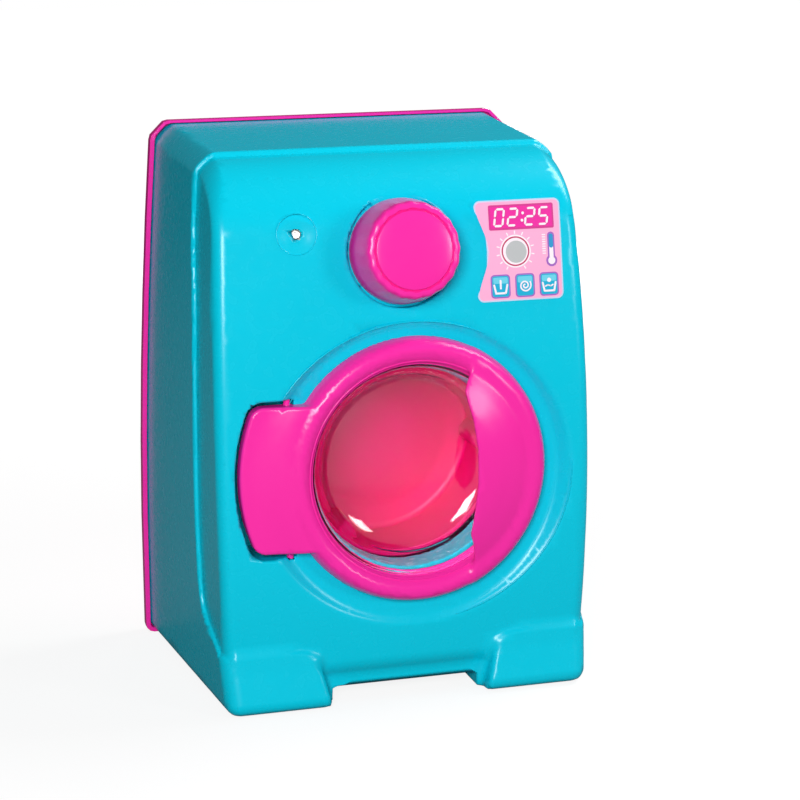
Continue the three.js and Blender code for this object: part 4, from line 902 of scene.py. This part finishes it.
def inkPiece(name, layer, ink, shapes):
    # Each shape is one outline, or an outer and an inner one with as many points
    points, faces = [], []
    base = stickerSizes["top"] + (layer - 1) * stickerSizes["ink"]
    for loops in shapes:
        starts = []
        for loop in loops:
            for lift in (base, base + stickerSizes["ink"] * stickerSizes["overlap"]):
                starts.append(len(points))
                points += [(x, -frontReach(z) - lift, z) for x, z in loop]
        count = len(loops[0])
        around = [(k, (k + 1) % count) for k in range(count)]
        back, front = starts[0], starts[1]
        faces += [(back + a, back + b, front + b, front + a) for a, b in around]
        if len(loops) == 1:
            faces += [tuple(front + k for k in range(count)), tuple(back + k for k in reversed(range(count)))]
        else:
            innerBack, innerFront = starts[2], starts[3]
            faces += [(innerBack + b, innerBack + a, innerFront + a, innerFront + b) for a, b in around]
            faces += [(front + a, front + b, innerFront + b, innerFront + a) for a, b in around]
            faces += [(back + b, back + a, innerBack + a, innerBack + b) for a, b in around]
    facedPiece(name, points, faces, inks[ink], "case", "printed_sticker")


def disc(x, z, radius, count=40):
    turns = [k / count * math.tau for k in range(count)]
    return [(x + math.cos(turn) * radius, z + math.sin(turn) * radius) for turn in turns]


def roundedBox(left, right, low, high, corner, steps=5):
    loop = []
    for x, z, turn in ((right, low, 3), (right, high, 0), (left, high, 1), (left, low, 2)):
        cx = x - corner if x == right else x + corner
        cz = z + corner if z == low else z - corner
        for k in range(steps + 1):
            angle = (turn + k / steps) * math.pi / 2
            loop.append((cx + math.cos(angle) * corner, cz + math.sin(angle) * corner))
    return loop


def bar(x0, z0, x1, z1, width, steps=6):
    # A straight stroke with round ends
    angle = math.atan2(z1 - z0, x1 - x0)
    loop = []
    for x, z, turn in ((x1, z1, -0.5), (x0, z0, 0.5)):
        for k in range(steps + 1):
            a = angle + (turn + k / steps) * math.pi
            loop.append((x + math.cos(a) * width / 2, z + math.sin(a) * width / 2))
    return loop


def stickerSide(z, inset):
    # How far left and right the sticker reaches at a height
    s = stickerSizes
    low, high, corner = s["low"] + inset, s["high"] - inset, s["corner"] - inset
    edge = min(z - low, high - z)
    cut = corner - math.sqrt(max(corner ** 2 - max(corner - edge, 0) ** 2, 0))
    share = (z - s["low"] - s["corner"]) / (s["high"] - s["low"] - 2 * s["corner"])
    bow = 0.5 - 0.5 * math.cos(math.tau * min(max(share, 0), 1))
    return s["left"] + inset + cut + s["waist"] * bow ** s["waistPower"], s["right"] - inset - cut


def stickerField():
    # The pink ground of the print, inside the sticker's pale rim
    s = stickerSizes
    inset, rows = s["rim"], s["rows"]
    low, high = s["low"] + inset, s["high"] - inset
    points, faces = [], []
    for row in range(rows + 1):
        z = low + (high - low) * (0.5 - 0.5 * math.cos(math.pi * row / rows))
        left, right = stickerSide(z, inset)
        for lift in (s["top"] - s["ink"], s["top"] + s["ink"]):
            points += [(left, -frontReach(z) - lift, z), (right, -frontReach(z) - lift, z)]
    for a in range(0, 4 * rows, 4):
        b = a + 4
        faces += [(a + 2, a + 3, b + 3, b + 2), (a + 1, a, b, b + 1)]
        faces += [(a, a + 2, b + 2, b), (a + 3, a + 1, b + 1, b + 3)]
    last = 4 * rows
    faces += [(0, 1, 3, 2), (last + 2, last + 3, last + 1, last)]
    facedPiece("stickerField", points, faces, inks["palePink"], "case", "printed_sticker")


stickerField()
displayBox = {
    "left": 52.2, "right": 91, "low": 268.2, "high": 282.2, "rim": 1.1, "corner": 1, "innerCorner": 0.5,
}


def insetBox(box, inset, corner):
    low, high = box["low"] + inset, box["high"] - inset
    return roundedBox(box["left"] + inset, box["right"] - inset, low, high, corner)


inkPiece("displayBorder", 2, "displayRim", [[insetBox(displayBox, 0, displayBox["corner"])]])
inkPiece("displayField", 3, "display", [[insetBox(displayBox, displayBox["rim"], displayBox["innerCorner"])]])

digitSizes = {
    "width": 5.0, "height": 9.2, "slant": 0.16, "stroke": 1.25, "gap": 0.22, "low": 270.6, "colon": 71.6,
    "dotHeights": (273.2, 277.2), "dot": 0.8, "shadowRight": 0.45, "shadowDown": 0.4,
}
digitPlaces = [("0", 55.2), ("2", 63.2), ("2", 73.6), ("5", 81.6)]
segments = {
    "a": ((0, 1), (1, 1)), "b": ((1, 1), (1, 0.5)), "c": ((1, 0.5), (1, 0)), "d": ((0, 0), (1, 0)),
    "e": ((0, 0.5), (0, 0)), "f": ((0, 1), (0, 0.5)), "g": ((0, 0.5), (1, 0.5)),
}
litSegments = {"0": "abcdef", "2": "abged", "5": "afgcd"}


def segmentLoops(digit, left):
    # The lit segments of a digit, each a bar with pointed ends
    g = digitSizes
    loops = []
    for key in litSegments[digit]:
        (u0, v0), (u1, v1) = segments[key]
        x0, z0, x1, z1 = u0 * g["width"], v0 * g["height"], u1 * g["width"], v1 * g["height"]
        length = math.hypot(x1 - x0, z1 - z0)
        ax, az = (x1 - x0) / length, (z1 - z0) / length
        half = g["stroke"] / 2
        ends = []
        near, far = g["gap"], length - g["gap"]
        for along, out in (
            (near, 0), (near + half, half), (far - half, half),
            (far, 0), (far - half, -half), (near + half, -half),
        ):
            x, z = x0 + ax * along - az * out, z0 + az * along + ax * out
            ends.append((left + x + z * g["slant"], g["low"] + z))
        loops.append([ends])
    return loops


digits = []
for digit, left in digitPlaces:
    digits += segmentLoops(digit, left)
for z in digitSizes["dotHeights"]:
    x = digitSizes["colon"] + (z - digitSizes["low"]) * digitSizes["slant"]
    digits.append([disc(x, z, digitSizes["dot"], 16)])
right, down = digitSizes["shadowRight"], digitSizes["shadowDown"]
shadows = [[[(x + right, z - down) for x, z in loop] for loop in loops] for loops in digits]
inkPiece("digitShadows", 4, "displayRim", shadows)
inkPiece("displayDigits", 5, "white", digits)

dialSizes = {
    "x": 67.2, "z": 256.2, "ticks": 13, "from": -60, "turn": 300, "tickIn": 9.9, "tickOut": 11.2,
    "tick": 0.7, "glow": 9.2, "glowIn": 8.2, "line": 8.3, "lineIn": 7.5, "edge": 7.6, "face": 6.2,
    "faceX": 0.4, "faceZ": -0.3,
}


def dialTick(angle):
    d = dialSizes
    cos, sin = math.cos(angle), math.sin(angle)
    return bar(
        d["x"] + cos * d["tickIn"], d["z"] + sin * d["tickIn"],
        d["x"] + cos * d["tickOut"], d["z"] + sin * d["tickOut"], d["tick"],
    )


def dialDisc(key, dx=0.0, dz=0.0):
    return disc(dialSizes["x"] + dx, dialSizes["z"] + dz, dialSizes[key])


tickAngles = [math.radians(dialSizes["from"] + dialSizes["turn"] * k / (dialSizes["ticks"] - 1))
              for k in range(dialSizes["ticks"])]
inkPiece("dialTicks", 2, "white", [[dialTick(angle)] for angle in tickAngles])
inkPiece("dialGlow", 2, "white", [[dialDisc("glow"), dialDisc("glowIn")]])
inkPiece("dialLine", 3, "crimson", [[dialDisc("line"), dialDisc("lineIn")]])
inkPiece("dialEdge", 2, "white", [[dialDisc("edge")]])
inkPiece("dialFace", 3, "grey", [[dialDisc("face", dialSizes["faceX"], dialSizes["faceZ"])]])

tubeSizes = {
    "x": 88.7, "low": 250, "middle": 258.4, "lineTop": 264, "inkTop": 263.8, "line": 4.2, "lineBulb": 3.3,
    "fill": 2.4, "fillBulb": 2.1, "ink": 2.6, "marks": 9, "markLow": 254.2, "markStep": 1.3, "markLeft": 83.6,
    "markRight": 85.2, "mark": 0.6,
}


def tubeBar(low, high, width):
    return [bar(tubeSizes["x"], tubeSizes[low], tubeSizes["x"], tubeSizes[high], tubeSizes[width])]


def tubeBulb(key):
    return [disc(tubeSizes["x"], tubeSizes["low"], tubeSizes[key])]


def tubeMark(number):
    t = tubeSizes
    z = t["markLow"] + number * t["markStep"]
    return [bar(t["markLeft"], z, t["markRight"], z, t["mark"])]


inkPiece("thermometerLine", 2, "violet", [tubeBar("low", "lineTop", "line"), tubeBulb("lineBulb")])
inkPiece("thermometerFill", 3, "white", [tubeBar("low", "middle", "fill"), tubeBulb("fillBulb")])
inkPiece("thermometerTop", 4, "blue", [tubeBar("middle", "inkTop", "ink")])
inkPiece("thermometerMarks", 2, "white", [tubeMark(k) for k in range(tubeSizes["marks"])])

iconSizes = {
    "spans": [(51.6, 63.2), (66.2, 77.8), (80.7, 92.2)], "low": 230.4, "high": 243.6, "corner": 2.2,
    "rim": 0.8, "innerCorner": 1.5, "shineIn": 1.5, "shineHeight": 3.5, "shineCorner": 0.8, "stroke": 1.1,
}
basinSizes = {"middles": (57.4, 86.45), "top": 237.8, "floor": 233.2, "topHalf": 3.9, "floorHalf": 2.9}
paddleSizes = {"x": 57.4, "low": 235.9, "high": 240.2}
swirlSizes = {
    "x": 72.0, "z": 236.9, "turns": 2.1, "growth": 0.27, "outer": 0.5, "inner": -0.35, "steps": 40, "from": 3,
}
dropSizes = {"x": 86.45, "z": 239.2, "radius": 1.2}
waveSizes = {"x": 86.45, "low": 235.8, "high": 236.5, "swing": 0.7, "step": 1.5, "width": 0.8, "count": 3}


def iconLoops(inset, low, high, corner):
    return [[roundedBox(left + inset, right - inset, low, high, corner)]
            for left, right in iconSizes["spans"]]


def basinStrokes(middle):
    b = basinSizes
    corners = [
        (middle - b["topHalf"], b["top"]), (middle - b["floorHalf"], b["floor"]),
        (middle + b["floorHalf"], b["floor"]), (middle + b["topHalf"], b["top"]),
    ]
    return [[bar(*start, *end, iconSizes["stroke"])] for start, end in zip(corners, corners[1:])]


def swirlStrokes():
    s = swirlSizes
    angles = [k / s["steps"] * s["turns"] * math.tau for k in range(s["from"], s["steps"] + 1)]
    edges = []
    for key in ("outer", "inner"):
        reaches = [s[key] + a * s["growth"] for a in angles]
        edges.append([(s["x"] + math.cos(a) * r, s["z"] + math.sin(a) * r) for a, r in zip(angles, reaches)])
    outer, inner = edges
    return [[list(quad)] for quad in zip(outer, outer[1:], inner[1:], inner)]


def waveStroke(number):
    w = waveSizes
    swing = number % 2 * w["swing"]
    start = w["x"] + (number - w["count"] / 2) * w["step"]
    return [bar(start, w["low"] + swing, start + w["step"], w["high"] - swing, w["width"])]


iconLow, iconHigh, rim = iconSizes["low"], iconSizes["high"], iconSizes["rim"]
inkPiece("iconBorders", 2, "violet", iconLoops(0, iconLow, iconHigh, iconSizes["corner"]))
inkPiece("iconFields", 3, "cyan", iconLoops(rim, iconLow + rim, iconHigh - rim, iconSizes["innerCorner"]))
shineIn, shineHigh = iconSizes["shineIn"], iconHigh - iconSizes["shineIn"]
shineLow = shineHigh - iconSizes["shineHeight"]
inkPiece("iconTops", 4, "lightCyan", iconLoops(shineIn, shineLow, shineHigh, iconSizes["shineCorner"]))
strokes = [stroke for middle in basinSizes["middles"] for stroke in basinStrokes(middle)]
strokes.append([bar(
    paddleSizes["x"], paddleSizes["low"], paddleSizes["x"], paddleSizes["high"], iconSizes["stroke"],
)])
strokes += swirlStrokes()
strokes.append([disc(dropSizes["x"], dropSizes["z"], dropSizes["radius"], 20)])
strokes += [waveStroke(k) for k in range(waveSizes["count"])]
inkPiece("iconMarks", 5, "white", strokes)
say("sticker printed")


# The CAD's own pieces that stay get the finish and soft edges
dressing = {"sharpAngle": 32, "bevelAngle": 50, "segments": 2}


def dressNode(name, material, edge):
    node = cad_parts[name]
    for slotOfNode in node.material_slots:
        slotOfNode.material = material
    if not node.material_slots:
        node.data.materials.append(material)
    node.data.polygons.foreach_set("use_smooth", [True] * len(node.data.polygons))
    node.data.set_sharp_from_angle(angle=math.radians(dressing["sharpAngle"]))
    if edge:
        bevel = node.modifiers.new("softEdges", "BEVEL")
        bevel.width = edge * mm
        bevel.segments = dressing["segments"]
        bevel.limit_method = "ANGLE"
        bevel.angle_limit = math.radians(dressing["bevelAngle"])
        bevel.harden_normals = False


plainNodes = {
    "back_cover": (pinkPp, 0.5), "window_retainer": (pinkPp, 0.2), "battery_lid": (pinkPp, 0.25),
    "drum_bearing": (whitePom, 0.2), "knob_spindle": (whitePom, 0.2), "click_wheel": (whitePom, 0.2),
    "led_clip": (whitePom, 0.2), "switch_slider": (blackAbs, 0.2), "switch_housing": (blackAbs, 0.2),
    "sound_chip": (blackAbs, 0.1), "speaker_cone": (blackAbs, 0), "speaker_frame": (zincSteel, 0.1),
    "speaker_magnet": (zincSteel, 0.3), "drum_axle": (zincSteel, 0.2), "drum_clip": (zincSteel, 0.1),
    "knob_screw": (zincSteel, 0), "click_spring": (zincSteel, 0.1), "circuit_board": (boardGreen, 0.1),
    "battery_1": (cellFilm, 0.3), "battery_2": (cellFilm, 0.3), "contact_bridge": (zincSteel, 0),
    "contact_plus": (zincSteel, 0), "contact_minus": (zincSteel, 0), "lid_screw_1": (zincSteel, 0),
    "lid_screw_2": (zincSteel, 0), "control_sticker": (inks["paleBlue"], 0),
}
for i in range(6):
    plainNodes[f"case_screw_{i + 1}"] = (zincSteel, 0)
for name, (material, edge) in plainNodes.items():
    dressNode(name, material, edge)
say("CAD pieces dressed")


# Studio: a pale floor, a soft key lamp above and to the left of the camera, weaker ones on the right,
# overhead and behind. The camera and the lamps stand in the CAD source's millimetres. The floor's size and
# glow are in metres from its middle.
studio = {
    "floorHalf": 6, "floorDrop": 0.2, "floorColour": "#747474", "floorGlow": 0.86, "glowFrom": 0.35,
    "glowTo": 1.5, "worldLight": 0.07, "camera": (-372.93, -1405.91, 479.75),
    "target": (16.913, -90, 159.672), "roll": -0.284, "lens": 106.94, "sensor": 36, "near": 0.05, "far": 60,
}
lamps = {
    "keyLamp": {"place": (-600, -1590, 700), "target": (0, -90, 160), "size": (560, 560), "power": 23},
    "rightLamp": {"place": (1040, -1330, 560), "target": (0, -90, 160), "size": (320, 320), "power": 4.5},
    "topLamp": {"place": (1000, 60, 1250), "target": (0, -90, 280), "size": (700, 700), "power": 15.5},
    "backLamp": {"place": (480, 1400, 150), "target": (0, 0, 160), "size": (420, 260), "power": 9},
}


def aim(thing, target, roll=0.0):
    ahead = (Vector(target) - thing.location).normalized()
    thing.rotation_mode = "QUATERNION"
    turn = ahead.to_track_quat("-Z", "Y")
    thing.rotation_quaternion = turn @ Matrix.Rotation(math.radians(roll), 3, "Z").to_quaternion()


def inFrame(point):
    return Vector(toFrame([point])[0])


def addLamp(name, place, target, size, power):
    data = bpy.data.lights.new(name, "AREA")
    data.shape = "RECTANGLE"
    data.size, data.size_y = size[0] * mm, size[1] * mm
    data.energy = power
    lamp = bpy.data.objects.new(name, data)
    bpy.context.scene.collection.objects.link(lamp)
    lamp.location = inFrame(place)
    aim(lamp, inFrame(target))


camera = bpy.data.objects.new("camera", bpy.data.cameras.new("camera"))
bpy.context.scene.collection.objects.link(camera)
camera.location = inFrame(studio["camera"])
aim(camera, inFrame(studio["target"]), studio["roll"])
camera.data.lens = studio["lens"]
camera.data.sensor_width = studio["sensor"]
camera.data.clip_start, camera.data.clip_end = studio["near"], studio["far"]
bpy.context.scene.camera = camera

for name, settings in lamps.items():
    addLamp(name, **settings)

world = bpy.data.worlds.new("studioWorld")
bpy.context.scene.world = world
world.use_nodes = True
worldTree = world.node_tree
worldTree.nodes.clear()


def seenDirectly(tree):
    # 1 for the camera's rays, also through clear plastic, which see the background as white
    rays = addNode(tree, "ShaderNodeLightPath")
    return addNode(tree, "ShaderNodeMath", {
        0: rays.outputs["Is Camera Ray"], 1: rays.outputs["Is Transmission Ray"],
    }, operation="MAXIMUM").outputs["Value"]


plain = addNode(worldTree, "ShaderNodeBackground", {
    "Color": linear("#FFFFFF"), "Strength": studio["worldLight"],
})
white = addNode(worldTree, "ShaderNodeBackground", {"Color": linear("#FFFFFF"), "Strength": 1})
both = addNode(worldTree, "ShaderNodeMixShader", {
    0: seenDirectly(worldTree), 1: plain.outputs["Background"], 2: white.outputs["Background"],
})
addNode(worldTree, "ShaderNodeOutputWorld", {"Surface": both.outputs["Shader"]})

floorMesh = bpy.data.meshes.new("floor")
half = studio["floorHalf"]
floorCorners = [(-half, -half, 0), (half, -half, 0), (half, half, 0), (-half, half, 0)]
floorMesh.from_pydata(floorCorners, [], [(0, 1, 2, 3)])
floor = bpy.data.objects.new("floor", floorMesh)
bpy.context.scene.collection.objects.link(floor)
floor.location.z = -studio["floorDrop"] * mm
floorMaterial, floorTree = newMaterial("palePaperFloor")
paper = addNode(floorTree, "ShaderNodeBsdfDiffuse", {"Color": linear(studio["floorColour"])})
floorSpot = addNode(floorTree, "ShaderNodeTexCoord")
fromMiddle = addNode(floorTree, "ShaderNodeVectorMath", {0: floorSpot.outputs["Object"]}, operation="LENGTH")
glowLevel = addNode(floorTree, "ShaderNodeMapRange", {
    "Value": fromMiddle.outputs["Value"], "From Min": studio["glowFrom"], "From Max": studio["glowTo"],
    "To Min": studio["floorGlow"], "To Max": 1,
})
glow = addNode(floorTree, "ShaderNodeEmission", {
    "Color": linear("#FFFFFF"), "Strength": glowLevel.outputs["Result"],
})
lit = addNode(floorTree, "ShaderNodeAddShader", {0: paper.outputs["BSDF"], 1: glow.outputs["Emission"]})
mixed = addNode(floorTree, "ShaderNodeMixShader", {
    0: seenDirectly(floorTree), 1: paper.outputs["BSDF"], 2: lit.outputs["Shader"],
})
addNode(floorTree, "ShaderNodeOutputMaterial", {"Surface": mixed.outputs["Shader"]})
floorMesh.materials.append(floorMaterial)

bpy.context.scene.view_settings.view_transform = "Standard"
say("studio made")
